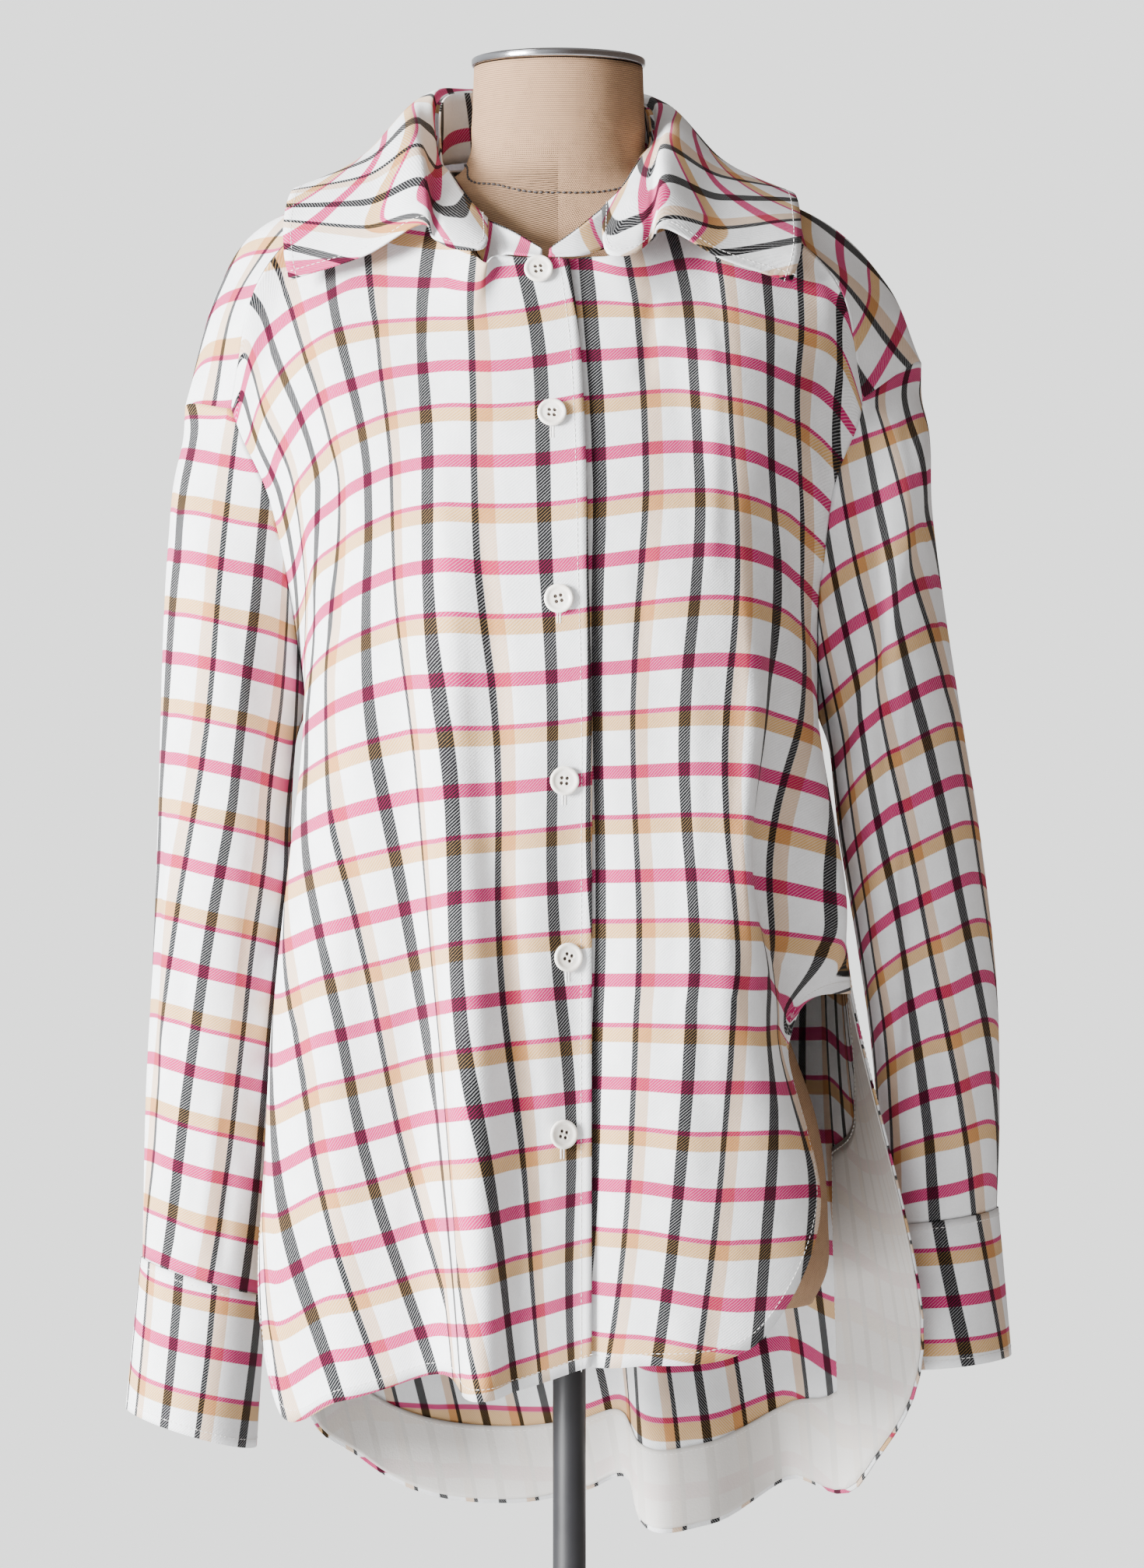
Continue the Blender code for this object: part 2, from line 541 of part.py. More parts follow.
def button(name, x, z, tree, mat):
    """A turned button, seated square on the front at this place."""
    place, normal, _, _ = tree.ray_cast(Vector((x * MM, -1, z * MM)), Vector((0, 1, 0)))
    if normal.y > 0:
        normal = -normal
    seat = place + normal * LAYER_GAP * MM
    turn = Vector((0, 0, 1)).rotation_difference(normal).to_matrix().to_4x4()
    r, t = BUTTON_RADIUS, BUTTON_THICK
    profile = ((r - 1.4, 0), (r, t * 0.45), (r, t * 0.8), (r - 0.8, t), (r - 1.9, t),
               (r - 2.8, t * 0.72))
    return turned(name, profile, mat, 20, Matrix.Translation(seat) @ turn)


def surface_tree(obj):
    """The object's faces, for finding places on it."""
    bm = bmesh.new()
    bm.from_mesh(obj.data)
    tree = BVHTree.FromBMesh(bm)
    bm.free()
    return tree


def build():
    """Every piece, from the stand up."""
    for obj in list(bpy.data.objects):
        bpy.data.objects.remove(obj, do_unlink=True)
    check = material("checked_twill", (0.86, 0.82, 0.80), 0.9)
    plain = material("white_facing", (0.93, 0.92, 0.90), 0.85)
    linen = material("linen", (0.52, 0.38, 0.26), 0.9)
    metal = material("dark_chrome", (0.30, 0.30, 0.31), 0.25, 1.0)
    lacquer = material("black_lacquer", (0.02, 0.02, 0.025), 0.4)
    shell = material("cream_shell", (0.90, 0.87, 0.80), 0.35)

    dress_form(linen, metal, lacquer)

    left = front_panel(LEFT_FRONT, LEFT_COLUMNS, LEFT_SEAMS)
    left[:, :7, 1] += FRONT_UNDERLAP * MM * np.array([1, 1, 1, 1, 0.8, 0.5, 0.2])
    right = front_panel(RIGHT_FRONT, RIGHT_COLUMNS, RIGHT_SEAMS)
    panels = dict(front_right=right, front_left=left[:, ::-1], back=back_panel())
    outward = sewn_normals(panels)
    drawn_in = dict(front_right=dict(last=SEAM_GAP), front_left=dict(first=SEAM_GAP),
                    back=dict(first=SEAM_GAP, last=SEAM_GAP))
    made = {}
    for name, grid in panels.items():
        top = 3 * SEAM_GAP if name == "back" else SEAM_GAP
        cut = trimmed(grid, top=top, **drawn_in[name])
        made[name] = wall(name, cut, CLOTH, check, outward=outward[name])
    facing(panels["back"], outward["back"], plain)

    for name, seams, rows, turn in (("sleeve_right", RIGHT_SEAMS, RIGHT_SLEEVE, -1),
                                    ("sleeve_left", LEFT_SEAMS, LEFT_SLEEVE, 1)):
        grid = trimmed(sleeve(seams, rows)[:, ::turn], top=3 * SEAM_GAP, bottom=SEAM_GAP)
        wall(name, grid, CLOTH, check, closed=True)
    cuff("cuff_right", RIGHT_CUFF, check, -1)
    cuff("cuff_left", LEFT_CUFF, check, 1)
    collar(check)

    tree = surface_tree(made["front_right"])
    places = [TOP_BUTTON, *zip(BUTTON_LINES, BUTTON_HEIGHTS)]
    for number, (x, z) in enumerate(places, start=1):
        button(f"button_{number}", x, z, tree, shell)


build()
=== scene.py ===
# %% [markdown]
# # A checked tunic on a limbless dress form
#
# A loose button-front tunic in brushed cotton twill hangs on a linen-covered torso with a
# pole and a round base. The garment is cut from flat panels, so this lesson builds each one
# as a grid of points that follows the hanging cloth, gives every point its place on the flat
# cut, and lets the woven check follow that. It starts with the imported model, whose pieces
# stay where they are: each new piece lies on the solid that it stands for.

# %% Load the frame and keep the size of the model
import math

import bmesh
import bpy
import numpy as np
from mathutils import Matrix, Vector
from mathutils.bvhtree import BVHTree


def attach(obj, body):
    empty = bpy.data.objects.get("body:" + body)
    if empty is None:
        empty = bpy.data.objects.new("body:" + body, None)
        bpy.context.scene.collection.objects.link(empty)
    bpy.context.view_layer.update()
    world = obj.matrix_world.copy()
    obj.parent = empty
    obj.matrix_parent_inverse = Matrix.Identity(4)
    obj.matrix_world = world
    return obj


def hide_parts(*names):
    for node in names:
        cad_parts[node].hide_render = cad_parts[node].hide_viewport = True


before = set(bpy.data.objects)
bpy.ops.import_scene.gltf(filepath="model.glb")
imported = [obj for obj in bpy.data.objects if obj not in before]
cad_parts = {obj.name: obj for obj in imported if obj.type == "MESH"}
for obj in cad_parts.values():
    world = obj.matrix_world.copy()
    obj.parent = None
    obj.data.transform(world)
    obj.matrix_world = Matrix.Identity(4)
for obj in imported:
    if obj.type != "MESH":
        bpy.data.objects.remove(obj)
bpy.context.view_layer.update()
MM = 0.001


def added(name, data):
    """A new object in the scene, at the origin."""
    thing = bpy.data.objects.new(name, data)
    bpy.context.collection.objects.link(thing)
    return thing


# %% [markdown]
# ## The camera
#
# The photograph was taken from the front at the height of the waist, with a long lens: the
# pole and both sleeves stand upright in it. A camera 3.2 m away with an 18 degree view and
# no tilt gives the same picture.

# %% The camera
VIEW_DISTANCE = 3200.0          # from the pole's axis, in millimetres
VIEW_X = 1.6                    # the camera's place across and its height
VIEW_HEIGHT = 1060.0
PICTURE = (1470, 2014)          # the picture's width and height in pixels
PIXEL = 0.47                    # a pixel's width at the pole's axis, in millimetres
SENSOR = 36.0

view_data = bpy.data.cameras.new("camera")
view_data.sensor_width = SENSOR
view_data.lens = SENSOR * VIEW_DISTANCE / (PICTURE[1] * PIXEL)
camera = added("camera", view_data)
camera.location = (VIEW_X * MM, -VIEW_DISTANCE * MM, VIEW_HEIGHT * MM)
camera.rotation_euler = (math.pi / 2, 0, 0)
bpy.context.scene.camera = camera


def in_picture(points):
    """Where points in metres fall in the picture, in its pixels."""
    points = np.asarray(points) / MM
    scale = VIEW_DISTANCE / (PIXEL * (VIEW_DISTANCE + points[..., 1]))
    across = PICTURE[0] / 2 + (points[..., 0] - VIEW_X) * scale
    down = PICTURE[1] / 2 - (points[..., 2] - VIEW_HEIGHT) * scale
    return np.stack([across, down], axis=-1)


print("lens:", round(view_data.lens, 1), "mm")

# %% [markdown]
# ## Sections and seams
#
# A pattern cutter would draft each panel flat, and the cloth then hangs as it must. Blender's
# cloth simulation could drape the flat pieces, but it would lose the folds that the
# photograph shows. The panels are lofted instead: a table gives a few level sections of each
# panel, the columns are named for the folds they run along, and one smooth spline goes
# through them both ways. The grids are fine enough, at about 4 mm, to need no subdivision.

# %% A smooth curve through known values
def through(knots, values, at):
    """The smooth curve through values at their knots, read at the places in at."""
    knots = np.asarray(knots, float)
    values = np.asarray(values, float)
    slopes = np.gradient(values, knots, axis=0)
    at = np.asarray(at, float)
    left = np.clip(np.searchsorted(knots, at, side="right") - 1, 0, len(knots) - 2)
    span = (knots[left + 1] - knots[left])[:, None]
    s = (at[:, None] - knots[left][:, None]) / span
    return ((2 * s**3 - 3 * s**2 + 1) * values[left] + (3 * s**2 - 2 * s**3) * values[left + 1]
            + (s**3 - 2 * s**2 + s) * span * slopes[left]
            + (s**3 - s**2) * span * slopes[left + 1])


def section(cells, columns, at):
    """One section read from its named cells."""
    names = [name for name in columns if name in cells]
    return through([columns[name] for name in names], [cells[name] for name in names], at)


def spread(knots, parts):
    """Each stretch between knots, cut into equal parts."""
    knots = list(knots)
    steps = [np.linspace(a, b, parts, endpoint=False) for a, b in zip(knots, knots[1:])]
    return np.append(np.concatenate(steps), knots[-1])


def panel(rows, columns, parts_across, parts_down):
    """A grid of points, in metres, through a table of sections."""
    across = spread(columns.values(), parts_across)
    levels = [level for level, _ in rows]
    lines = np.array([section(cells, columns, across) for _, cells in rows])
    down = spread(levels, parts_down)
    return np.stack([through(levels, line, down) for line in lines.transpose(1, 0, 2)], 1) * MM


# %% Joining panels at their seams
FINE_ACROSS = 12      # points between two columns of a panel's table
FINE_DOWN = 24        # and between two of its rows
SEAM_EASE = 30.0      # how far from a seam a panel gives way to meet it, in millimetres


def seam(points, parts):
    """A seam's own points, in metres, which every piece sewn there shares."""
    knots = range(len(points))
    return through(knots, points, spread(knots, parts)) * MM


def from_edge(grid, side):
    """A view of the grid as lines of points, counted inwards from one of its edges."""
    lines = grid if side in ("top", "bottom") else grid.transpose(1, 0, 2)
    return lines[::-1] if side in ("bottom", "last") else lines


def meet(grid, line, side, start=0):
    """Moves the edge of a grid onto a seam's line, easing the points near it along."""
    part = from_edge(grid, side)[:, start:start + len(line)]
    shift = line - part[0]
    away = np.linalg.norm(part - part[0], axis=2, keepdims=True) / (SEAM_EASE * MM)
    part += shift * np.clip(1 - away, 0, 1) ** 2 * (1 + 2 * np.clip(away, 0, 1))


def with_sides(rows, sides):
    """The table with its side cells filled in from the seams' points."""
    filled = []
    for place, (level, cells) in enumerate(rows):
        ends = {name: points[place] for name, points in sides.items()}
        filled.append((level, {**cells, **ends}))
    return filled


def down_the_side(seams, arm):
    """A seam line from the shoulder seam's end, down the armhole and the side."""
    return [*seams[arm], *seams["side"][1:]]


def side_line(seams, arm):
    """The same line's points, as the panels meet it."""
    return np.concatenate([seam(seams[arm], FINE_DOWN)[:-1], seam(seams["side"], FINE_DOWN)])


# %% Seams that two or three pieces share, from the neck outwards and down
RIGHT_SEAMS = dict(
    shoulder=((-94, -31, 1420), (-128, -36, 1406), (-162, -38, 1389), (-189, -43, 1351),
              (-202, -38, 1284)),
    arm_front=((-202, -38, 1284), (-194, -45, 1264), (-178, -49, 1228), (-166, -34, 1168),
               (-158, -6, 1105)),
    arm_back=((-202, -38, 1284), (-232, 0, 1288), (-216, 34, 1262), (-188, 44, 1200),
              (-158, -6, 1105)),
    side=((-158, -6, 1105), (-160, -3, 1010), (-166, 1, 960), (-167, 3, 930)),
)
LEFT_SEAMS = dict(
    shoulder=((67, -31, 1423), (100, -36, 1409), (130, -38, 1390), (162, -42, 1354),
              (175, -39, 1290)),
    arm_front=((175, -39, 1290), (172, -44, 1274), (157, -50, 1234), (149, -36, 1170),
               (150, -6, 1100)),
    arm_back=((175, -39, 1290), (212, 0, 1315), (200, 34, 1285), (168, 44, 1206),
              (150, -6, 1100)),
    side=((150, -6, 1100), (160, -7, 1000), (167, -13, 962), (169.5, -13, 934)),
)

print("seams:", len(RIGHT_SEAMS) + len(LEFT_SEAMS))

# %% The right front's sections
# A panel's sections go from its top edge to its hem. A row gives how far down the section
# lies, and then the places where it crosses the columns. The seams above close the sides.
RIGHT_COLUMNS = dict(edge=0, chest=0.2, crest=0.4, trough=0.47, flank=0.66, bend=0.8,
                     slit=0.91, side=1)
RIGHT_FRONT = (
    (0.00, dict(edge=(0, -94, 1368), chest=(-40, -93, 1370), crest=(-64, -84, 1380))),
    (0.09, dict(edge=(6, -108, 1322), chest=(-40, -108, 1323), crest=(-82, -100, 1325),
                trough=(-112, -90, 1326), flank=(-154, -72, 1318), bend=(-180, -54, 1296))),
    (0.22, dict(edge=(10, -134, 1242), chest=(-42, -132, 1242), crest=(-86, -122, 1240),
                trough=(-112, -110, 1238), flank=(-146, -84, 1234), bend=(-164, -62, 1230))),
    (0.32, dict(edge=(11, -141, 1189), chest=(-40, -140, 1189), crest=(-84, -133, 1186),
                trough=(-106, -119, 1182), flank=(-144, -86, 1176), bend=(-154, -60, 1172))),
    (0.44, dict(edge=(13, -144, 1110), chest=(-36, -143, 1109), crest=(-80, -138, 1104),
                trough=(-94, -122, 1100), flank=(-138, -94, 1092), bend=(-156, -56, 1092))),
    (0.58, dict(edge=(13, -146, 1018), chest=(-32, -146, 1016), crest=(-75, -143, 1010),
                trough=(-88, -120, 1006), flank=(-142, -98, 996), bend=(-167, -60, 990),
                slit=(-168, -30, 1000))),
    (0.74, dict(edge=(13, -149, 925), chest=(-29, -150, 920), crest=(-69, -149, 912),
                trough=(-80, -112, 908), flank=(-142, -98, 893), bend=(-176, -62, 885),
                slit=(-176, -28, 925))),
    (1.00, dict(edge=(13, -152, 724), chest=(-30, -153, 711), crest=(-60, -151, 708),
                trough=(-70, -104, 714), flank=(-134, -82, 697), bend=(-174, -58, 692),
                slit=(-185, -36, 790))),
)

# %% The left front's sections
LEFT_COLUMNS = dict(edge=0, chest=0.22, quarter=0.4, breast=0.54, crest=0.66, trough=0.72,
                    flank=0.88, side=1)
LEFT_FRONT = (
    (0.00, dict(edge=(-24, -91, 1368), chest=(8, -92, 1369), quarter=(36, -84, 1378))),
    (0.09, dict(edge=(-20, -105, 1322), chest=(22, -107, 1323), quarter=(56, -102, 1325),
                breast=(84, -95, 1326), crest=(112, -84, 1325), trough=(134, -72, 1322),
                flank=(159, -56, 1308))),
    (0.22, dict(edge=(-16, -131, 1242), chest=(28, -132, 1242), quarter=(66, -127, 1242),
                breast=(90, -119, 1241), crest=(110, -107, 1240), trough=(123, -95, 1239),
                flank=(142, -70, 1236))),
    (0.32, dict(edge=(-15, -138, 1189), chest=(28, -140, 1189), quarter=(68, -136, 1188),
                breast=(92, -127, 1187), crest=(110, -114, 1185), trough=(121, -100, 1183),
                flank=(137, -68, 1177))),
    (0.44, dict(edge=(-13, -141, 1110), chest=(28, -143, 1110), quarter=(68, -139, 1110),
                breast=(94, -132, 1108), crest=(112, -122, 1105), trough=(117, -106, 1102),
                flank=(146, -62, 1096))),
    (0.58, dict(edge=(-13, -143, 1018), chest=(28, -145, 1018), quarter=(68, -143, 1018),
                breast=(92, -138, 1017), crest=(106, -128, 1016), trough=(107, -106, 1014),
                flank=(162, -56, 1004))),
    (0.72, dict(edge=(-13, -146, 930), chest=(28, -148, 930), quarter=(71, -147, 932),
                breast=(100, -139, 938), crest=(116, -116, 948), trough=(120, -92, 952),
                flank=(162, -44, 965))),
    (1.00, dict(edge=(-13, -151, 727), chest=(36, -150, 724), quarter=(113, -137, 740),
                breast=(147, -108, 815), crest=(129, -82, 900), trough=(132, -66, 914),
                flank=(147, -38, 933))),
)

# %% The back's sections
BACK_COLUMNS = dict(arm_l=0, slit_l=0.06, cap_l=0.13, sh_l=0.24, neck_l=0.36, nape_l=0.43,
                    cb=0.5, nape_r=0.56, fold_r=0.59, neck_r=0.66, sh_r=0.76, cap_r=0.87,
                    slit_r=0.94, arm_r=1)
BACK = (
    (0.00, dict(nape_l=(-78, 34, 1434), cb=(-14, 64, 1438), nape_r=(50, 34, 1434))),
    (0.07, dict(cap_l=(-212, 0, 1358), sh_l=(-186, 2, 1396), neck_l=(-112, 6, 1421),
                nape_l=(-84, 48, 1430), cb=(-14, 77, 1429), nape_r=(56, 48, 1430),
                neck_r=(85, 6, 1424), sh_r=(152, 2, 1400), cap_r=(190, 0, 1364))),
    (0.16, dict(cap_l=(-196, 44, 1318), sh_l=(-160, 58, 1352), neck_l=(-108, 72, 1374),
                cb=(-14, 88, 1386), neck_r=(80, 72, 1374), sh_r=(134, 58, 1354),
                cap_r=(174, 44, 1326))),
    (0.28, dict(cap_l=(-174, 68, 1240), sh_l=(-146, 88, 1258), neck_l=(-104, 100, 1268),
                cb=(-14, 106, 1272), neck_r=(76, 100, 1268), sh_r=(122, 88, 1258),
                cap_r=(152, 68, 1240))),
    (0.43, dict(slit_l=(-163, 24, 1112), cap_l=(-160, 56, 1122), sh_l=(-138, 90, 1132),
                neck_l=(-98, 108, 1140), cb=(-14, 114, 1142), neck_r=(72, 108, 1140),
                sh_r=(112, 90, 1132), cap_r=(142, 56, 1122), slit_r=(150, 22, 1110))),
    (0.60, dict(slit_l=(-167, 26, 1004), cap_l=(-165, 60, 998), sh_l=(-142, 94, 992),
                neck_l=(-98, 114, 988), cb=(-14, 124, 985), neck_r=(72, 114, 988),
                sh_r=(118, 96, 992), cap_r=(150, 58, 996), slit_r=(160, 22, 1000))),
    (0.78, dict(slit_l=(-169, 46, 903), cap_l=(-167, 62, 858), sh_l=(-144, 97, 838),
                neck_l=(-98, 116, 828), cb=(-14, 128, 822), nape_r=(26, 126, 822),
                fold_r=(42, 116, 824), neck_r=(74, 112, 826), sh_r=(126, 104, 836),
                cap_r=(162, 60, 850), slit_r=(174, 28, 876))),
    (1.00, dict(slit_l=(-173, 42, 790), cap_l=(-166, 62, 690), sh_l=(-130, 95, 641),
                neck_l=(-76, 114, 613), nape_l=(-30, 121, 610), cb=(10, 125, 617),
                nape_r=(39, 112, 624), fold_r=(45, 78, 604), neck_r=(84, 74, 602),
                sh_r=(136, 108, 626), cap_r=(184, 50, 638), slit_r=(214, 0, 738))),
)

# %% The sleeves' and the cuffs' sections
# One row for each level below the armhole: outer edge (x, z), inner edge (x, z), front, back.
RIGHT_SLEEVE = (
    (-237, 1250, -165, 1085, -51, 47),
    (-242, 1205, -167, 1058, -52, 49),
    (-245, 1155, -168, 1030, -50, 50),
    (-247, 1095, -168, 1000, -47, 51),
    (-249, 1025, -171, 962, -45, 52),
    (-252, 950, -175, 905, -43, 52),
    (-256, 872, -180, 840, -40, 49),
    (-258, 775, -184, 752, -36, 44),
)
LEFT_SLEEVE = (
    (216, 1278, 157, 1080, -51, 47),
    (219, 1225, 160, 1052, -51, 49),
    (227, 1165, 163, 1028, -46, 54),
    (238, 1098, 168, 1000, -38, 62),
    (250, 1028, 175, 962, -26, 74),
    (261, 940, 184, 905, -8, 88),
    (264, 862, 190, 842, 8, 98),
    (263, 800, 191, 790, 18, 104),
)
CAP_ANGLE = 35       # degrees round the sleeve from its outer edge to the shoulder seam
RIGHT_CUFF = ((-259, 775, -183, 752, -37, 45), (-268, 684, -189, 660, -42, 48))
LEFT_CUFF = ((264, 800, 190, 790, 17, 105), (272, 710, 195, 702, 14, 108))

# %% The collar fall's sections
# They go from the front edge on the wearer's right round the back to the other front edge.
FALL_COLUMNS = dict(roll=0, lobe=0.12, lip=0.22, valley=0.3, ridge=0.37, brow=0.52, wing=0.68,
                    brim=0.84, outer=1)
FALL = (
    (0.00, dict(roll=(-48, -72, 1394), lobe=(-50, -101, 1374), lip=(-69, -100, 1374),
                valley=(-79, -91, 1380), ridge=(-82, -92, 1387), wing=(-122, -79, 1371),
                outer=(-166, -66, 1358))),
    (0.06, dict(roll=(-60, -62, 1407), lobe=(-67, -77, 1398), lip=(-74, -83, 1394),
                valley=(-80, -81, 1396), ridge=(-83, -83, 1402), wing=(-122, -71, 1388),
                outer=(-169, -62, 1374))),
    (0.13, dict(roll=(-71, -42, 1424), lobe=(-76, -50, 1419), lip=(-80, -55, 1417),
                valley=(-83, -57, 1419), ridge=(-85, -60, 1425), wing=(-122, -56, 1410),
                outer=(-170, -46, 1396))),
    (0.23, dict(roll=(-79, -4, 1440), valley=(-84, -12, 1446), ridge=(-89, -17, 1452),
                wing=(-122, -14, 1436), outer=(-164, -4, 1420))),
    (0.33, dict(roll=(-79, 34, 1478), valley=(-86, 38, 1482), ridge=(-91, 41, 1480),
                wing=(-116, 49, 1450), outer=(-146, 60, 1408))),
    (0.41, dict(roll=(-56, 58, 1484), valley=(-63, 68, 1487), ridge=(-66, 72, 1484),
                wing=(-81, 90, 1452), outer=(-98, 102, 1408))),
    (0.50, dict(roll=(-14, 70, 1484), valley=(-14, 80, 1487), ridge=(-14, 85, 1484),
                wing=(-14, 97, 1456), outer=(-14, 106, 1412))),
    (0.59, dict(roll=(28, 58, 1483), valley=(35, 68, 1486), ridge=(39, 72, 1483),
                wing=(53, 90, 1450), outer=(70, 102, 1406))),
    (0.67, dict(roll=(48, 36, 1474), valley=(55, 40, 1478), ridge=(60, 42, 1476),
                wing=(86, 49, 1444), outer=(116, 60, 1406))),
    (0.77, dict(roll=(51, -2, 1450), valley=(55, -9, 1454), ridge=(60, -14, 1456),
                wing=(92, -14, 1434), outer=(134, -4, 1417))),
    (0.87, dict(roll=(43, -38, 1434), lobe=(46, -45, 1430), lip=(49, -49, 1428),
                valley=(51, -51, 1429), ridge=(53, -54, 1434), wing=(90, -53, 1412),
                outer=(138, -45, 1394))),
    (0.94, dict(roll=(32, -62, 1414), lobe=(38, -77, 1404), lip=(45, -83, 1399),
                valley=(50, -80, 1402), ridge=(53, -82, 1408), wing=(91, -69, 1389),
                outer=(137, -58, 1374))),
    (1.00, dict(roll=(19, -74, 1400), lobe=(22, -101, 1371), lip=(39, -100, 1371),
                valley=(48, -91, 1379), ridge=(51, -92, 1385), wing=(92, -77, 1369),
                outer=(132, -62, 1357))),
)

# %% The panels' grids
FRONT_UNDERLAP = 3.0      # how far behind the right front the left one's edge lies
UNDERLAP_COLUMNS = (2, 3.5)   # the columns over which it comes forward again


def front_panel(rows, columns, seams):
    """A front: its table, closed by the shoulder seam, the armhole and the side seam."""
    names = list(columns)
    top = dict(zip(names[3:], seams["shoulder"]))
    rows = ((rows[0][0], {**rows[0][1], **top}), *rows[1:])
    side = down_the_side(seams, "arm_front")
    grid = panel(with_sides(rows, dict(side=side)), columns, FINE_ACROSS, FINE_DOWN)
    meet(grid, seam(seams["shoulder"], FINE_ACROSS), "top", 3 * FINE_ACROSS)
    meet(grid, side_line(seams, "arm_front"), "last")
    return grid


def back_panel():
    """The back: its table, closed by both shoulder seams, armholes and side seams."""
    names = list(BACK_COLUMNS)
    top = dict(zip(names[4::-1], RIGHT_SEAMS["shoulder"]))
    top.update(zip(names[-5:], LEFT_SEAMS["shoulder"]))
    rows = ((BACK[0][0], {**top, **BACK[0][1]}), *BACK[1:])
    sides = dict(arm_l=down_the_side(RIGHT_SEAMS, "arm_back"),
                 arm_r=down_the_side(LEFT_SEAMS, "arm_back"))
    parts = FINE_ACROSS * 2 // 3
    grid = panel(with_sides(rows, sides), BACK_COLUMNS, parts, FINE_DOWN)
    meet(grid, seam(RIGHT_SEAMS["shoulder"], parts)[::-1], "top")
    left_top = seam(LEFT_SEAMS["shoulder"], parts)
    meet(grid, left_top, "top", grid.shape[1] - len(left_top))
    meet(grid, side_line(RIGHT_SEAMS, "arm_back"), "first")
    meet(grid, side_line(LEFT_SEAMS, "arm_back"), "last")
    return grid


left_front = front_panel(LEFT_FRONT, LEFT_COLUMNS, LEFT_SEAMS)
underlap = np.interp(np.arange(left_front.shape[1]) / FINE_ACROSS, UNDERLAP_COLUMNS, (1, 0))
left_front[..., 1] += FRONT_UNDERLAP * MM * underlap
grids = dict(front_right=front_panel(RIGHT_FRONT, RIGHT_COLUMNS, RIGHT_SEAMS),
             front_left=left_front[:, ::-1], back=back_panel())
for name, grid in grids.items():
    print(name, grid.shape[:2])


# %% Sleeves and cuffs
RING_PARTS = 48       # points round each half of a sleeve's ring


def sleeve_rings(rows):
    """One oval ring for each row, starting at the shoulder seam and passing the front."""
    front_turn = np.linspace(CAP_ANGLE, 180, RING_PARTS, endpoint=False)
    back_turn = np.linspace(180, 360 + CAP_ANGLE, RING_PARTS, endpoint=False)
    turn = np.radians(np.concatenate([front_turn, back_turn]))
    rings = []
    for x_out, z_out, x_in, z_in, front, back in rows:
        side = np.cos(turn)
        x = (x_out + x_in) / 2 + (x_out - x_in) / 2 * side
        y = (front + back) / 2 + (front - back) / 2 * np.sin(turn)
        z = (z_out + z_in) / 2 + (z_out - z_in) / 2 * side
        rings.append(np.stack([x, y, z], axis=1) * MM)
    return rings


def armhole(seams):
    """The armhole's closed loop: down its front edge and up its back edge."""
    front = seam(seams["arm_front"], RING_PARTS // 4)
    back = seam(seams["arm_back"], RING_PARTS // 4)
    return np.concatenate([front[:-1], back[:0:-1]])


def sleeve(seams, rows, parts=16):
    """A sleeve's grid from its armhole to its cuff seam."""
    rings = np.array([armhole(seams), *sleeve_rings(rows)])
    steps = spread(range(len(rings)), parts)
    lines = [through(range(len(rings)), rings[:, i], steps) for i in range(rings.shape[1])]
    return np.stack(lines, axis=1)


def cuff(rows, parts=22):
    """A plain cuff, a little wider than the sleeve it turns up from."""
    top, bottom = sleeve_rings(rows)
    return np.stack([top + (bottom - top) * s for s in np.linspace(0, 1, parts)])


tubes = dict(sleeve_right=sleeve(RIGHT_SEAMS, RIGHT_SLEEVE), cuff_right=cuff(RIGHT_CUFF),
             sleeve_left=sleeve(LEFT_SEAMS, LEFT_SLEEVE), cuff_left=cuff(LEFT_CUFF))
for name, grid in tubes.items():
    underarm_first = np.roll(grid, -RING_PARTS, axis=1)
    grids[name] = underarm_first[:, ::-1] if name.endswith("right") else underarm_first

# %% The collar's fall
FALL_PARTS = (6, 14)      # points between two columns and two rows of its table

grids["collar_fall"] = panel(FALL, FALL_COLUMNS, *FALL_PARTS)[:, ::-1]
print("collar_fall", grids["collar_fall"].shape[:2])

# %% [markdown]
# ## Cloth with two faces
#
# The real twill is a little over a millimetre thick, and its edges show. Solidify could give
# a sheet its thickness, but here both faces are written directly, because the seams of two
# panels must share their normals, and the hidden face needs its own place on the cut.

# %% Normals that agree at the seams
def normals(grid, closed=False):
    """Unit normals of a grid of points."""
    if closed:
        across = np.roll(grid, -1, axis=1) - np.roll(grid, 1, axis=1)
    else:
        across = np.gradient(grid, axis=1)
    down = np.gradient(grid, axis=0)
    cross = np.cross(across, down)
    return cross / np.maximum(np.linalg.norm(cross, axis=2, keepdims=True), 1e-12)


def sewn_normals(names):
    """The panels' normals, the same for those that meet at a seam's point."""
    found = {name: normals(grids[name]) for name in names}
    total = {}
    for name in names:
        for point, normal in zip(grids[name].reshape(-1, 3), found[name].reshape(-1, 3)):
            key = tuple(np.round(point, 5))
            total[key] = total.get(key, 0) + normal
    for name in names:
        points = grids[name].reshape(-1, 3)
        shared = np.array([total[tuple(np.round(point, 5))] for point in points])
        shared /= np.linalg.norm(shared, axis=1, keepdims=True)
        found[name] = shared.reshape(grids[name].shape)
    return found


def is_tube(name):
    """Whether a piece closes round an arm."""
    return name.startswith(("sleeve", "cuff"))


def all_normals():
    """The normals of every grid, outwards, shared along the body's seams."""
    found = sewn_normals(("front_right", "front_left", "back"))
    for name, grid in grids.items():
        if name not in found:
            found[name] = normals(grid, closed=is_tube(name))
    return found


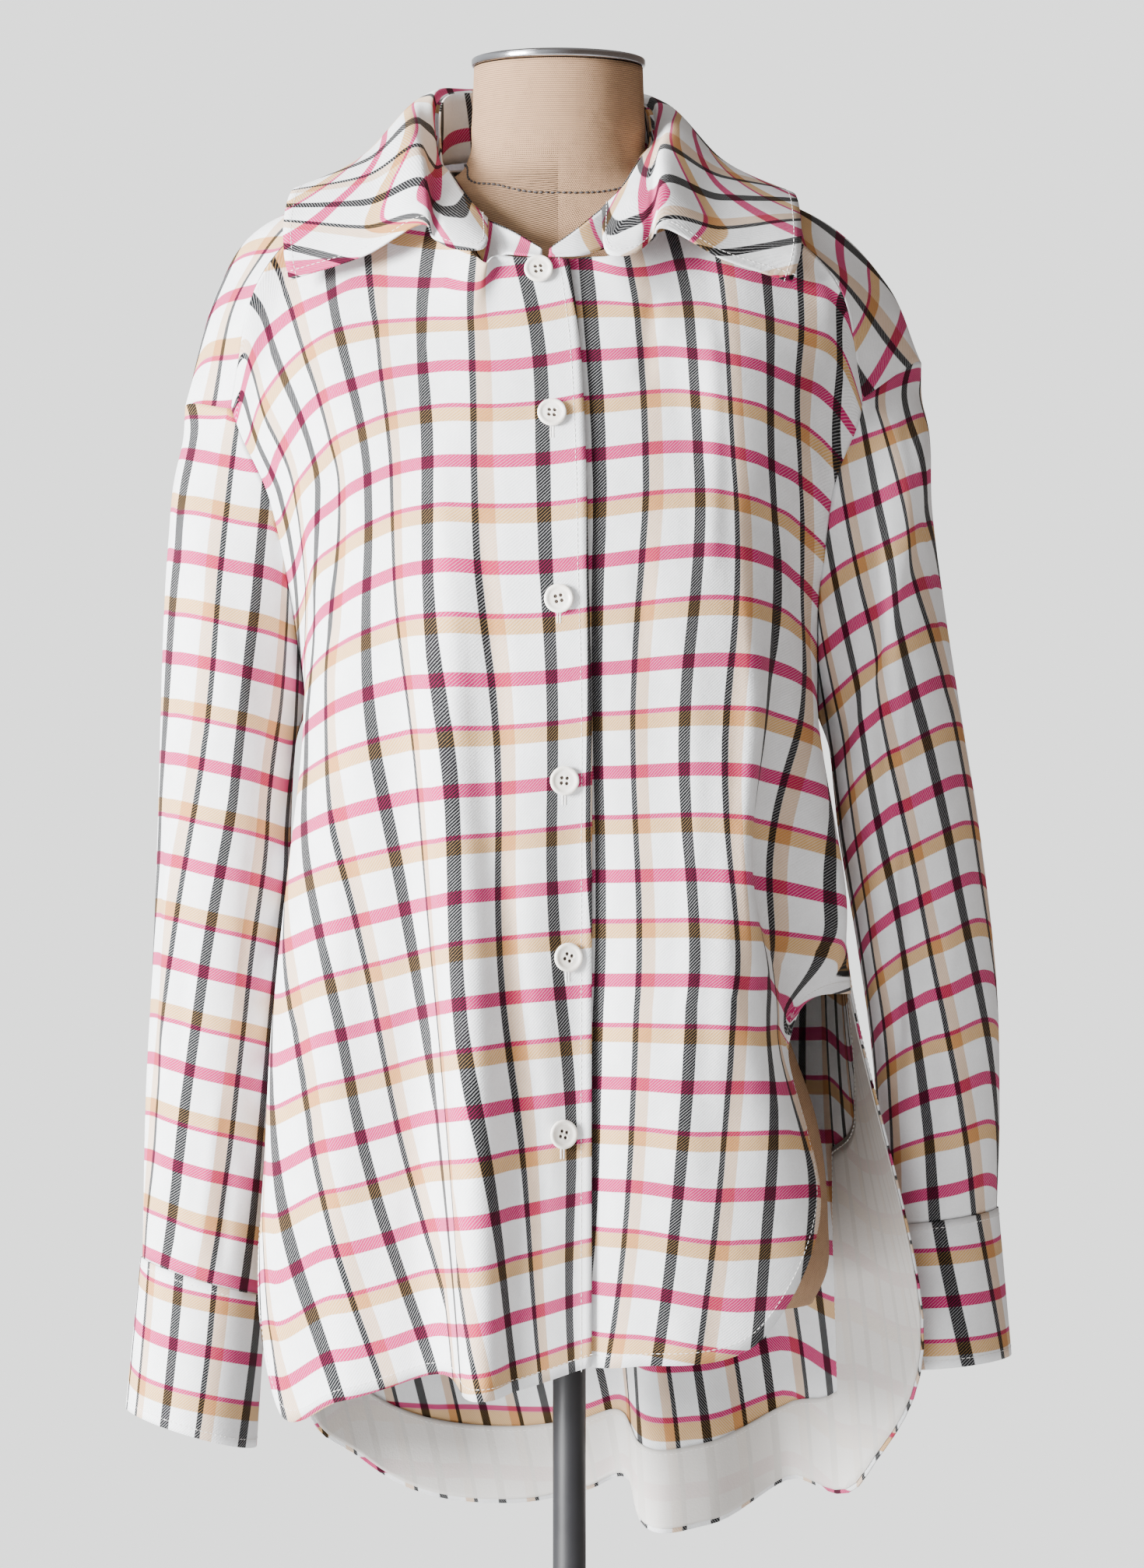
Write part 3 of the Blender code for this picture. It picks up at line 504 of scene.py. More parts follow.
# %% A sheet of cloth as a mesh
def sheet_faces(rows, columns, closed):
    """Faces of a wall with two sides, as (side, row, column) for each corner."""
    span = columns if closed else columns - 1
    i, j = np.meshgrid(np.arange(rows - 1), np.arange(span), indexing="ij")
    i, j = i.ravel(), j.ravel()
    front, back = np.zeros_like(i), np.ones_like(i)

    def corners(*parts):
        return np.stack([np.stack(part, axis=-1) for part in parts], axis=1)

    faces = [corners((front, i, j), (front, i, j + 1), (front, i + 1, j + 1), (front, i + 1, j)),
             corners((back, i + 1, j), (back, i + 1, j + 1), (back, i, j + 1), (back, i, j))]
    j = np.arange(span)
    front, back = np.zeros_like(j), np.ones_like(j)
    top, low = np.zeros_like(j), np.full_like(j, rows - 1)
    faces.append(corners((front, top, j + 1), (front, top, j), (back, top, j), (back, top, j + 1)))
    faces.append(corners((front, low, j), (front, low, j + 1), (back, low, j + 1), (back, low, j)))
    if not closed:
        i = np.arange(rows - 1)
        front, back = np.zeros_like(i), np.ones_like(i)
        one, two = np.zeros_like(i), np.full_like(i, columns - 1)
        faces.append(corners((front, i, one), (front, i + 1, one), (back, i + 1, one),
                             (back, i, one)))
        faces.append(corners((front, i + 1, two), (front, i, two), (back, i, two),
                             (back, i + 1, two)))
    return np.concatenate(faces)


def cloth_sheet(name, front, behind, cloth, material, closed=False):
    """A named piece of cloth between two grids, with its place on the flat cut as its UV map."""
    rows, columns = front.shape[:2]
    faces = sheet_faces(rows, columns, closed)
    side, row, column = faces[..., 0], faces[..., 1], faces[..., 2]
    index = (side * rows + row) * columns + column % columns
    mesh = bpy.data.meshes.new(name)
    mesh.from_pydata(np.concatenate([front, behind]).reshape(-1, 3), [], index.tolist())
    layer = mesh.uv_layers.new(name="cloth")
    layer.data.foreach_set("uv", cloth[row, column].ravel().astype(np.float32))
    mesh.shade_smooth()
    mesh.materials.append(material)
    return added(name, mesh)


# %% [markdown]
# ## Creases
#
# The tables give the deep folds. The smaller creases between them come from the cloth's own
# stiffness and from how it was folded before: a long one down the left sleeve, drag lines
# from the bust and the armholes, and short ones at the elbows. Each is given as a line in
# the picture, with a height and a width of its own, and dies away at its ends. A positive
# height lifts the cloth. The ones on the hidden side are my own, of the same kind.

# %% Creases on the fronts: height and width in millimetres, then places in the picture
FRONT_CREASES = (
    (-6.0, 20, (744, 860), (746, 1100), (748, 1400), (750, 2250)),
    (-4.5, 24, (742, 1060), (746, 1300), (750, 1700), (752, 2250)),
    (3.5, 17, (556, 640), (566, 860), (584, 1080), (606, 1350), (622, 1620), (640, 2150)),
    (-3.0, 12, (604, 760), (622, 1000), (652, 1300), (684, 1560), (700, 2150)),
    (2.5, 12, (470, 800), (488, 1050), (500, 1350), (520, 2050)),
    (3.0, 13, (880, 700), (890, 1000), (880, 1400), (868, 2050)),
    (2.2, 7, (372, 560), (398, 660), (407, 770), (404, 880), (388, 1000)),
    (-2.4, 7, (422, 560), (432, 660), (434, 760), (424, 860)),
    (-1.8, 6, (610, 640), (622, 740), (634, 840), (650, 1000)),
    (1.5, 7, (560, 560), (572, 700), (585, 840), (592, 980)),
    (-1.7, 6, (432, 930), (440, 1060), (458, 1190), (476, 1380)),
    (1.4, 8, (500, 1100), (520, 1300), (548, 1500), (570, 1700)),
    (-1.3, 6, (372, 1290), (392, 1380), (398, 1470)),
    (1.2, 6, (330, 1480), (345, 1600), (352, 1740)),
    (-1.4, 5, (640, 1050), (664, 1250), (690, 1450), (704, 1640)),
    (-1.5, 5, (838, 372), (835, 430), (828, 500)),
    (-1.2, 5, (820, 690), (826, 760), (822, 850)),
    (1.3, 6, (905, 380), (915, 460), (918, 600), (912, 760)),
    (-1.1, 6, (868, 1000), (872, 1200), (860, 1400)),
    (1.5, 8, (925, 900), (935, 1080), (930, 1300), (915, 1500)),
    (-1.5, 6, (1012, 640), (1022, 740), (1034, 860), (1048, 960)),
    (1.3, 6, (1040, 560), (1052, 660), (1058, 760)),
    (-1.2, 6, (880, 1480), (884, 1600), (872, 1720)),
)

# %% Creases on the sleeves
SLEEVE_CREASES = (
    (-2.0, 4, (206, 1010), (200, 1200), (196, 1400), (190, 1580)),
    (1.5, 5, (222, 1030), (216, 1200), (208, 1400)),
    (-1.2, 5, (276, 820), (272, 880), (262, 960)),
    (1.3, 6, (330, 700), (322, 820), (306, 960), (290, 1120)),
    (-1.6, 5, (352, 900), (338, 1020), (320, 1160), (310, 1300)),
    (-1.4, 5, (246, 1180), (236, 1300), (224, 1420)),
    (1.6, 5, (282, 1380), (268, 1500), (252, 1630)),
    (-1.5, 4, (300, 1480), (290, 1560), (284, 1640)),
    (-1.2, 4, (230, 1500), (222, 1570), (218, 1620)),
    (-3.6, 5, (1123, 560), (1123, 780), (1128, 870), (1136, 960), (1147, 1060), (1151, 1200),
     (1153, 1300), (1156, 1450)),
    (1.8, 6, (1142, 600), (1146, 780), (1156, 940), (1170, 1080), (1176, 1240), (1182, 1400)),
    (1.6, 6, (1100, 620), (1100, 780), (1106, 900), (1120, 1020), (1128, 1180), (1132, 1330)),
    (-3.2, 8, (1182, 1180), (1190, 1300), (1198, 1420), (1203, 1530)),
    (1.5, 7, (1212, 1150), (1222, 1300), (1230, 1450)),
    (-1.3, 6, (1205, 700), (1215, 800), (1230, 920)),
    (-1.2, 5, (1160, 520), (1176, 600), (1184, 690)),
)

# %% Creases on the hidden side
BACK_CREASES = (
    (-3.0, 13, (612, 480), (598, 760), (606, 1080), (590, 1380)),
    (2.6, 16, (700, 420), (712, 800), (704, 1200), (684, 1600)),
    (-2.6, 12, (806, 520), (828, 860), (836, 1240), (820, 1500)),
    (2.2, 12, (500, 560), (488, 900), (506, 1240)),
    (-2.4, 12, (430, 700), (420, 980), (440, 1300)),
    (2.4, 13, (930, 500), (940, 820), (926, 1180)),
    (-2.8, 12, (1004, 620), (996, 900), (1010, 1150)),
    (-1.8, 8, (560, 380), (480, 470), (420, 590)),
    (-2.0, 8, (860, 380), (950, 460), (1010, 570)),
    (1.8, 9, (760, 900), (774, 1200), (770, 1520)),
    (-2.6, 8, (252, 560), (246, 760), (236, 960), (226, 1140)),
    (2.0, 8, (300, 620), (292, 820), (270, 1010)),
    (-2.4, 6, (348, 930), (300, 962), (236, 958)),
    (-2.1, 6, (340, 1060), (284, 1092), (220, 1080)),
    (1.9, 7, (330, 1000), (282, 1030), (226, 1022)),
    (-1.9, 6, (300, 1280), (258, 1400), (246, 1540)),
    (-2.5, 8, (1160, 560), (1180, 740), (1196, 940)),
    (-2.4, 6, (1130, 960), (1180, 985), (1232, 970)),
    (-2.0, 6, (1140, 1090), (1196, 1110), (1250, 1086)),
    (1.9, 7, (1134, 1030), (1188, 1048), (1240, 1030)),
    (-2.0, 7, (1190, 1250), (1212, 1400), (1224, 1520)),
)

# %% Lifting the cloth along a crease
END_SHARE = 0.2           # a crease rises over this share of its length at each end
SIDE_GAIN, SIDE_START = 4, 0.3      # how fast a crease fades where the cloth turns away
HELD_ROWS = 12            # rows below an armhole over which its seam holds the sleeve


def along_line(seen, line):
    """How far each place lies from a line, in pixels, and how far along it, from 0 to 1."""
    line = np.array(line, float)
    steps = np.diff(line, axis=0)
    lengths = np.linalg.norm(steps, axis=1)
    nearest = np.full(seen.shape[:-1], np.inf)
    share = np.zeros(seen.shape[:-1])
    run = 0.0
    for start, step, length in zip(line, steps, lengths):
        part = np.clip(((seen - start) @ step) / length ** 2, 0, 1)
        away = np.linalg.norm(seen - start - part[..., None] * step, axis=-1)
        closer = away < nearest
        nearest = np.where(closer, away, nearest)
        share = np.where(closer, (run + part * length) / lengths.sum(), share)
        run += length
    return nearest, share


def crease(grid, outward, creases, behind=False):
    """Lifts or sinks the cloth along each crease, on its side towards or from the camera."""
    seen = in_picture(grid)
    side = outward[..., 1] if behind else -outward[..., 1]
    faced = np.clip(side * SIDE_GAIN - SIDE_START, 0, 1)
    lift = np.zeros(grid.shape[:2])
    for height, width, *line in creases:
        away, share = along_line(seen, line)
        swell = np.clip(np.minimum(share, 1 - share) / END_SHARE, 0, 1)
        swell = swell * swell * (3 - 2 * swell)
        lift += height * swell * np.exp(-(away * PIXEL / width) ** 2)
    return grid + outward * (lift * faced * MM)[..., None]


# %% Creasing every panel
outward = all_normals()
smooth_grids = dict(grids)
smooth_outward = dict(outward)
for name in grids:
    lines = SLEEVE_CREASES if is_tube(name) else FRONT_CREASES
    if name in ("back", "collar_fall"):
        lines = ()
    held = np.minimum(np.arange(grids[name].shape[0]) / HELD_ROWS, 1)[:, None, None]
    if not name.startswith("sleeve"):
        held = 1.0
    moved = crease(grids[name], outward[name], lines)
    if name != "collar_fall":
        moved = crease(moved, outward[name], BACK_CREASES, behind=True)
    grids[name] = grids[name] + (moved - grids[name]) * held
print("creases:", len(FRONT_CREASES) + len(SLEEVE_CREASES) + len(BACK_CREASES))

# %% [markdown]
# ## The check's place on each piece
#
# Each point of a grid gets two cloth coordinates, counted in repeats of the check: a whole
# number across is the middle of a wide charcoal stripe, and a whole number down the middle of
# a wide pink one. Both start as plain lengths along the cloth. A few places where such
# stripes cross the picture then pull them into line, and the pull fades on the sides that
# nobody sees.

# %% Lengths along the cloth, and a smooth map over them
REPEAT_ACROSS = 58.0      # one repeat of the check along the weft, in millimetres
REPEAT_DOWN = 64.4        # and along the warp
REACH = 130.0             # how far along the cloth a mark pulls, in millimetres
TOP_LEVEL = 1400.0        # lengths down the cloth are counted from this height
PLANE_UNIT = 100.0        # the plane's own unit of length, in millimetres
SLOPE_HOLD = 1.5          # how strongly it is held near the slopes of a plain weave
MARK_SLACK = 0.01         # how far it may pass beside a mark
EASE_ALONG = 6            # lengths are eased by a bell of this many points


def smoothed(values, sigma, axis):
    """Values eased along one axis of a grid, by a bell of this width in points."""
    reach = int(3 * sigma)
    bell = np.exp(-(np.arange(-reach, reach + 1) / sigma) ** 2 / 2)
    bell /= bell.sum()
    pad = [(0, 0)] * values.ndim
    pad[axis] = (reach, reach)
    padded = np.pad(values, pad, mode="reflect", reflect_type="odd")
    return np.apply_along_axis(lambda line: np.convolve(line, bell, "valid"), axis, padded)


def cloth_lengths(grid, closed=False, datum=None, depth=1.0, zero=0, start=0, ease=0):
    """How far along the cloth each point lies, across and down, in millimetres.

    Lengths across are counted from the column zero, and lengths down from the row start.
    Across, the folds are eased out first, by a bell of this many points.
    """
    loop = np.concatenate([grid, grid[:, :1]], axis=1) if closed else grid
    part = (1, depth, 1)
    eased = smoothed(loop, ease, 1) if ease else loop
    steps = np.maximum(np.linalg.norm(np.diff(eased, axis=1), axis=2),
                       np.linalg.norm(np.diff(loop, axis=1) * part, axis=2))
    across = np.cumsum(steps, axis=1) / MM
    across = np.pad(across, ((0, 0), (1, 0)))
    across -= across[:, zero][:, None]
    down = np.cumsum(np.linalg.norm(np.diff(loop, axis=0) * part, axis=2), axis=0) / MM
    down = np.pad(down, ((1, 0), (0, 0)))
    down -= down[start]
    if datum is not None:
        down = down + datum - loop[start, :, 2] / MM
    return np.stack([smoothed(across, EASE_ALONG, 0), smoothed(down, EASE_ALONG, 1)], axis=-1)


def smooth_map(places, values, at, slopes):
    """A plane near these slopes through the values, and a smooth pull to each of them."""
    def near(a, b):
        return np.exp(-((a[:, None] - b[None]) ** 2).sum(axis=2) / (2 * REACH ** 2))

    middle = places.mean(axis=0)
    plane = np.c_[np.ones(len(places)), (places - middle) / PLANE_UNIT]
    hold = np.diag([0, SLOPE_HOLD, SLOPE_HOLD])
    wanted = plane.T @ values + hold @ np.array([0, *slopes]) * PLANE_UNIT
    plane_parts = np.linalg.solve(plane.T @ plane + hold, wanted)
    pull = np.linalg.solve(near(places, places) + MARK_SLACK * np.eye(len(places)),
                           values - plane @ plane_parts)
    flat = np.c_[np.ones(len(at)), (at - middle) / PLANE_UNIT]
    return flat @ plane_parts + near(at, places) @ pull


# %% Cloth coordinates from the marks
MARK_REACH = 6.0          # how far off the cloth a mark may lie, in the picture's pixels
PATCH = 18.0              # the patch of cloth that a mark is read on, in millimetres
PATCH_POINTS = 14         # and the most points that it may hold
TOWARDS = -0.2            # cloth whose outward y is below this faces the camera


def marks_on(grid, lengths, rows, outward):
    """The lengths and the number of each mark that falls on a grid's side towards the camera."""
    facing = outward[..., 1] < TOWARDS
    seen = in_picture(grid)[facing]
    known = lengths[:, :grid.shape[1]][facing]
    places, values = [], []
    for number, *marks in rows:
        for mark in marks:
            away = np.linalg.norm(seen - mark, axis=1)
            near = np.argsort(away)[:PATCH_POINTS]
            if away[near[0]] < MARK_REACH:
                beside = np.linalg.norm(known[near] - known[near[0]], axis=1)
                near = near[beside < PATCH]
                flat = np.c_[np.ones(len(near)), seen[near] - mark]
                places.append(np.linalg.lstsq(flat, known[near], rcond=None)[0][0])
                values.append(number)
    return np.array(places), np.array(values)


def lay_check(grid, outward, warp, weft, turn=(-1, 1), turned=False, **measure):
    """The cloth coordinates of each point of a grid, in repeats of the check."""
    lengths = cloth_lengths(grid, **measure)
    flat = lengths.reshape(-1, 2)
    across, down = (turn[0] / REPEAT_ACROSS, 0), (0, turn[1] / REPEAT_DOWN)
    if turned:
        across, down = (0, turn[0] / REPEAT_ACROSS), (turn[1] / REPEAT_DOWN, 0)
    laid = [smooth_map(*marks_on(grid, lengths, rows, outward), flat, slopes)
            for rows, slopes in ((warp, across), (weft, down))]
    return np.stack(laid, axis=1).reshape(lengths.shape)


# %% Where the check's lines cross the fronts
# Each row is a line's number and places along it, in the picture's pixels. A wide stripe has
# a whole number, and the thin one after it adds 0.433.
FRONT_RIGHT_WARP = (
    (0, (670, 332), (679, 407), (692, 529), (695, 657), (698, 732), (704, 868), (706, 1010),
     (708, 1145), (711, 1275), (722, 1730), (730, 1765)),
    (-0.567, (635, 940), (638, 1010), (639, 1145), (642, 1205), (649, 1280), (659, 1410),
     (671, 1545)),
    (-1, (549, 311), (557, 418), (563, 529), (564, 596), (571, 734), (579, 871), (583, 940),
     (594, 1075), (610, 1215), (623, 1350), (638, 1490), (660, 1690), (674, 1785)),
    (-1.567, (522, 935), (527, 1020), (538, 1155), (552, 1290), (570, 1430), (586, 1570),
     (606, 1705), (615, 1765)),
    (-2, (427, 354), (436, 436), (442, 495), (451, 557), (459, 621), (456, 689), (461, 754),
     (474, 821), (486, 889), (493, 950), (504, 1030), (521, 1165), (537, 1300), (555, 1430),
     (571, 1530), (581, 1630)),
    (-2.567, (352, 334), (369, 395), (383, 450), (395, 514), (411, 582), (421, 654), (427, 707),
     (422, 775), (414, 843), (422, 935), (441, 1045), (467, 1175), (498, 1310), (524, 1445),
     (577, 1710)),
    (-3, (329, 380), (347, 423), (370, 486), (393, 550), (388, 985), (394, 1065), (419, 1195),
     (449, 1330), (537, 1715), (553, 1765)),
    (-3.567, (313, 468), (347, 521), (383, 586), (404, 621), (362, 1215), (380, 1350),
     (409, 1475), (471, 1735), (488, 1780)),
    (-4, (304, 529), (333, 564), (354, 621), (383, 675), (347, 1430), (357, 1500), (385, 1625),
     (402, 1690), (423, 1755)),
    (-4.567, (345, 1700), (353, 1745), (366, 1775)),
)
FRONT_RIGHT_WEFT = (
    (1, (722, 339), (674, 354), (611, 359), (554, 364), (486, 371), (433, 379), (370, 398),
     (347, 423), (322, 475), (306, 514)),
    (1.48, (733, 386), (679, 400), (556, 414), (488, 421), (436, 430), (383, 450), (361, 500)),
    (2, (740, 455), (685, 468), (619, 474), (560, 477), (492, 484), (442, 495), (401, 514),
     (372, 593), (354, 621)),
    (2.48, (740, 511), (690, 521), (563, 526), (494, 534), (451, 548), (410, 575)),
    (3, (740, 586), (693, 593), (564, 596), (497, 604), (459, 621), (420, 650)),
    (3.48, (740, 646), (567, 655), (502, 666), (456, 679), (427, 704)),
    (4, (740, 725), (698, 732), (571, 734), (513, 743), (461, 757), (426, 775), (408, 807)),
    (4.48, (740, 786), (576, 795), (517, 804), (472, 814), (419, 836)),
    (5, (740, 864), (704, 870), (579, 873), (520, 882), (486, 889)),
    (5.433, (700, 931), (590, 935), (522, 943), (450, 966), (388, 987)),
    (6, (750, 1003), (650, 1009), (550, 1021), (500, 1031), (450, 1042), (395, 1067)),
    (6.433, (750, 1060), (640, 1070), (532, 1081), (453, 1104), (404, 1124), (370, 1133)),
    (7, (750, 1139), (650, 1147), (550, 1159), (500, 1171), (418, 1196), (362, 1217)),
    (8, (750, 1274), (650, 1283), (570, 1295), (500, 1307), (450, 1327), (350, 1360)),
    (9, (750, 1409), (524, 1445), (340, 1500)),
    (10, (750, 1541), (345, 1640)),
    (11, (537, 1714), (471, 1733), (350, 1775)),
    (11.433, (615, 1765), (550, 1770)),
)
FRONT_LEFT_WARP = (
    (0, (752, 337), (764, 396), (767, 459), (770, 584), (772, 651), (769, 717), (767, 800),
     (768, 860), (770, 1000), (771, 1100), (769, 1255), (768, 1390), (765, 1520)),
    (0.433, (807, 333), (819, 459), (825, 581), (825, 647), (821, 784), (820, 985), (822, 1125),
     (820, 1315), (811, 1520), (796, 1660), (781, 1755)),
    (1, (871, 330), (879, 389), (885, 455), (892, 518), (896, 577), (897, 643), (894, 714),
     (890, 850), (886, 985), (884, 1125), (882, 1260), (855, 1660)),
    (1.433, (921, 344), (938, 462), (950, 577), (951, 643), (944, 780), (936, 985), (932, 1125),
     (925, 1320)),
    (2, (987, 363), (993, 407), (999, 470), (1002, 588), (1010, 651), (1008, 721), (997, 791),
     (988, 860), (979, 920), (972, 985), (970, 1100), (981, 1200), (990, 1320), (991, 1455)),
    (2.433, (1032, 477), (1026, 540), (1023, 669), (1040, 800), (1039, 860), (1026, 950),
     (1004, 1055), (988, 1160), (1037, 1480), (1043, 1530), (1036, 1625)),
    (3, (1084, 392), (1104, 448), (1058, 529), (1045, 573), (1062, 1100), (1044, 1200),
     (1018, 1310)),
    (3.433, (1091, 1160), (1086, 1230)),
)
FRONT_LEFT_WEFT = (
    (1, (740, 341), (809, 344), (871, 344), (923, 352), (978, 357), (1037, 366), (1084, 390)),
    (2, (740, 457), (820, 453), (884, 455), (941, 462), (999, 470), (1037, 492), (1060, 522),
     (1089, 555)),
    (3, (768, 584), (825, 579), (896, 577), (951, 575), (1000, 590), (1023, 618)),
    (4, (768, 719), (823, 715), (894, 712), (947, 712), (1008, 725), (1030, 739)),
    (5, (773, 858), (820, 855), (890, 849), (945, 850), (988, 859), (1039, 874)),
    (5.433, (775, 917), (820, 913), (890, 909), (960, 911), (1000, 922)),
    (6, (773, 992), (820, 990), (890, 987), (955, 988), (972, 992), (1016, 1004)),
    (6.433, (775, 1050), (885, 1047), (965, 1051), (1004, 1061), (1040, 1069)),
    (7, (775, 1126), (884, 1124), (965, 1127), (978, 1132), (1030, 1145), (1093, 1167)),
    (7.433, (775, 1184), (883, 1183), (975, 1187), (1010, 1197), (1050, 1208)),
    (8, (776, 1259), (882, 1260), (960, 1263), (985, 1267), (1000, 1273), (1045, 1285)),
    (9, (773, 1391), (960, 1398), (1015, 1398)),
    (10, (767, 1521), (960, 1534), (1043, 1530)),
    (11, (765, 1655), (796, 1660)),
    (11.433, (849, 1721)),
)

# %% Where they cross the sleeves and the cuffs
SLEEVE_RIGHT_WARP = (
    (2, (243, 585), (234, 645), (228, 715), (221, 780), (216, 848)),
    (1.433, (303, 555), (299, 595), (295, 650), (288, 725), (275, 855), (267, 920), (249, 1050),
     (229, 1175), (211, 1300), (197, 1410), (192, 1490), (193, 1560)),
    (1, (341, 640), (336, 675), (328, 735), (314, 860), (301, 990), (285, 1120), (269, 1245),
     (251, 1370), (238, 1440), (231, 1495), (221, 1550), (217, 1610)),
    (0.433, (365, 860), (361, 930), (350, 1000), (334, 1130), (315, 1260), (302, 1385),
     (297, 1450), (292, 1510), (281, 1560), (265, 1640)),
    (0, (341, 1390), (336, 1440), (329, 1525), (325, 1580), (312, 1650)),
)
SLEEVE_RIGHT_WEFT = (
    (3, (232, 583), (243, 585), (300, 592)),
    (2.433, (225, 655), (234, 658), (293, 666), (336, 676), (355, 683)),
    (2, (218, 712), (228, 714), (288, 724), (328, 733), (352, 742)),
    (1.433, (212, 787), (222, 789), (282, 798), (319, 806), (362, 820)),
    (1, (212, 843), (216, 845), (275, 854), (314, 863), (360, 872)),
    (0.433, (210, 917), (268, 926), (307, 935), (359, 946)),
    (0, (205, 970), (258, 983), (301, 990), (350, 1003), (373, 1012)),
    (-0.567, (205, 1045), (249, 1055), (293, 1065), (341, 1078), (370, 1086)),
    (-1, (205, 1100), (240, 1108), (285, 1118), (334, 1132), (365, 1140)),
    (-2, (210, 1238), (269, 1248), (315, 1260), (350, 1270)),
    (-3, (203, 1362), (251, 1373), (302, 1387), (345, 1400)),
    (-4, (200, 1490), (231, 1499), (292, 1512), (330, 1525)),
    (-4.567, (195, 1558), (217, 1569), (277, 1583), (325, 1594)),
    (-5, (190, 1605), (217, 1623), (265, 1637), (313, 1650), (335, 1655)),
)
CUFF_RIGHT_WARP = (
    (0.433, (192, 1640), (187, 1710), (182, 1760), (177, 1810)),
    (1, (228, 1640), (225, 1680), (220, 1725), (212, 1830)),
    (1.433, (271, 1650), (261, 1735), (254, 1800), (248, 1850)),
    (2, (335, 1665), (333, 1700), (327, 1750), (313, 1850)),
)
CUFF_RIGHT_WEFT = (
    (-0.567, (180, 1633), (193, 1641), (225, 1657), (268, 1668), (335, 1677)),
    (0, (176, 1700), (187, 1708), (220, 1723), (261, 1733), (327, 1743)),
    (0.433, (168, 1758), (182, 1766), (215, 1784), (254, 1796), (319, 1803)),
)
SLEEVE_LEFT_WARP = (
    (2.433, (1126, 500), (1137, 545), (1146, 600), (1159, 650), (1170, 700), (1185, 750),
     (1206, 850), (1219, 900), (1230, 940), (1243, 1005)),
    (2, (1121, 650), (1128, 700), (1141, 760), (1150, 800), (1162, 850), (1173, 900),
     (1189, 960), (1201, 1000), (1222, 1100), (1245, 1200), (1257, 1250), (1275, 1350)),
    (1.433, (1082, 600), (1094, 650), (1104, 700), (1116, 750), (1143, 1000), (1151, 1040),
     (1162, 1100), (1174, 1150), (1186, 1200), (1204, 1300), (1224, 1400), (1236, 1460),
     (1246, 1530)),
    (1, (1064, 720), (1074, 760), (1084, 800), (1096, 850), (1107, 900), (1121, 950),
     (1128, 1000), (1135, 1050), (1146, 1150), (1152, 1230), (1162, 1300), (1174, 1350),
     (1187, 1400), (1196, 1450), (1203, 1530)),
    (0.433, (1086, 1030), (1104, 1100), (1116, 1150), (1126, 1200), (1136, 1250), (1147, 1330)),
    (0, (1119, 1350)),
)
SLEEVE_LEFT_WEFT = (
    (1, (1140, 490), (1150, 487), (1170, 483)),
    (1.433, (1125, 563), (1137, 555), (1180, 540)),
    (2, (1120, 643), (1134, 636), (1152, 627), (1192, 614)),
    (2.433, (1123, 700), (1165, 683), (1200, 668)),
    (3, (1065, 830), (1085, 816), (1110, 804), (1125, 782), (1141, 770), (1184, 754),
     (1205, 745)),
    (3.433, (1130, 837), (1150, 826), (1195, 808), (1215, 801)),
    (4, (1075, 963), (1100, 951), (1118, 940), (1135, 907), (1150, 898), (1200, 882),
     (1225, 874)),
    (4.433, (1138, 967), (1150, 960), (1186, 948), (1230, 933)),
    (5, (1090, 1095), (1102, 1088), (1120, 1077), (1135, 1063), (1148, 1038), (1165, 1027),
     (1201, 1016), (1245, 1002)),
    (5.433, (1150, 1092), (1162, 1086), (1217, 1070), (1253, 1058)),
    (6, (1105, 1222), (1126, 1207), (1140, 1187), (1150, 1168), (1175, 1154), (1232, 1138),
     (1258, 1130)),
    (6.433, (1153, 1220), (1185, 1205), (1244, 1193), (1270, 1184)),
    (7, (1118, 1342), (1130, 1335), (1145, 1322), (1158, 1290), (1180, 1281), (1257, 1261),
     (1277, 1255)),
    (7.433, (1152, 1347), (1172, 1340), (1212, 1330), (1275, 1313)),
    (8, (1157, 1418), (1187, 1408), (1224, 1398), (1275, 1389)),
    (8.433, (1157, 1473), (1198, 1462), (1240, 1454), (1280, 1443)),
    (9, (1170, 1538), (1205, 1530), (1250, 1522), (1278, 1517)),
)
CUFF_LEFT_WARP = (
    (0, (1207, 1570), (1212, 1600), (1220, 1650), (1232, 1700), (1239, 1740)),
    (0.433, (1258, 1575), (1263, 1600), (1272, 1650), (1282, 1700), (1289, 1740)),
)
CUFF_LEFT_WEFT = (
    (0.433, (1185, 1607), (1212, 1604), (1262, 1597), (1285, 1590)),
    (1, (1190, 1676), (1225, 1674), (1271, 1664), (1292, 1657)),
    (1.433, (1190, 1720), (1232, 1721), (1284, 1712), (1298, 1706)),
)

# %% Where they cross the collar, the back and the yoke
FALL_RIGHT_WARP = (
    (0, (548, 158), (530, 160), (515, 170)),
    (0.433, (550, 190), (535, 190), (520, 194), (505, 207), (490, 216), (478, 222)),
    (1, (545, 232), (525, 238), (510, 247), (495, 255), (480, 259), (450, 261), (430, 263),
     (410, 266)),
    (1.433, (547, 273), (535, 274), (520, 280), (490, 289), (440, 291), (395, 290)),
    (2, (470, 327), (450, 327), (430, 327), (410, 328), (380, 330)),
)
FALL_RIGHT_WEFT = (
    (0, (545, 245), (546, 262), (547, 275), (543, 290)),
    (0.433, (538, 145), (532, 157), (525, 175), (520, 192), (517, 210), (514, 230), (510, 247),
     (508, 265), (502, 285), (490, 312)),
    (1, (481, 203), (475, 222), (465, 240), (447, 270), (437, 288), (425, 305), (415, 322),
     (403, 348)),
)
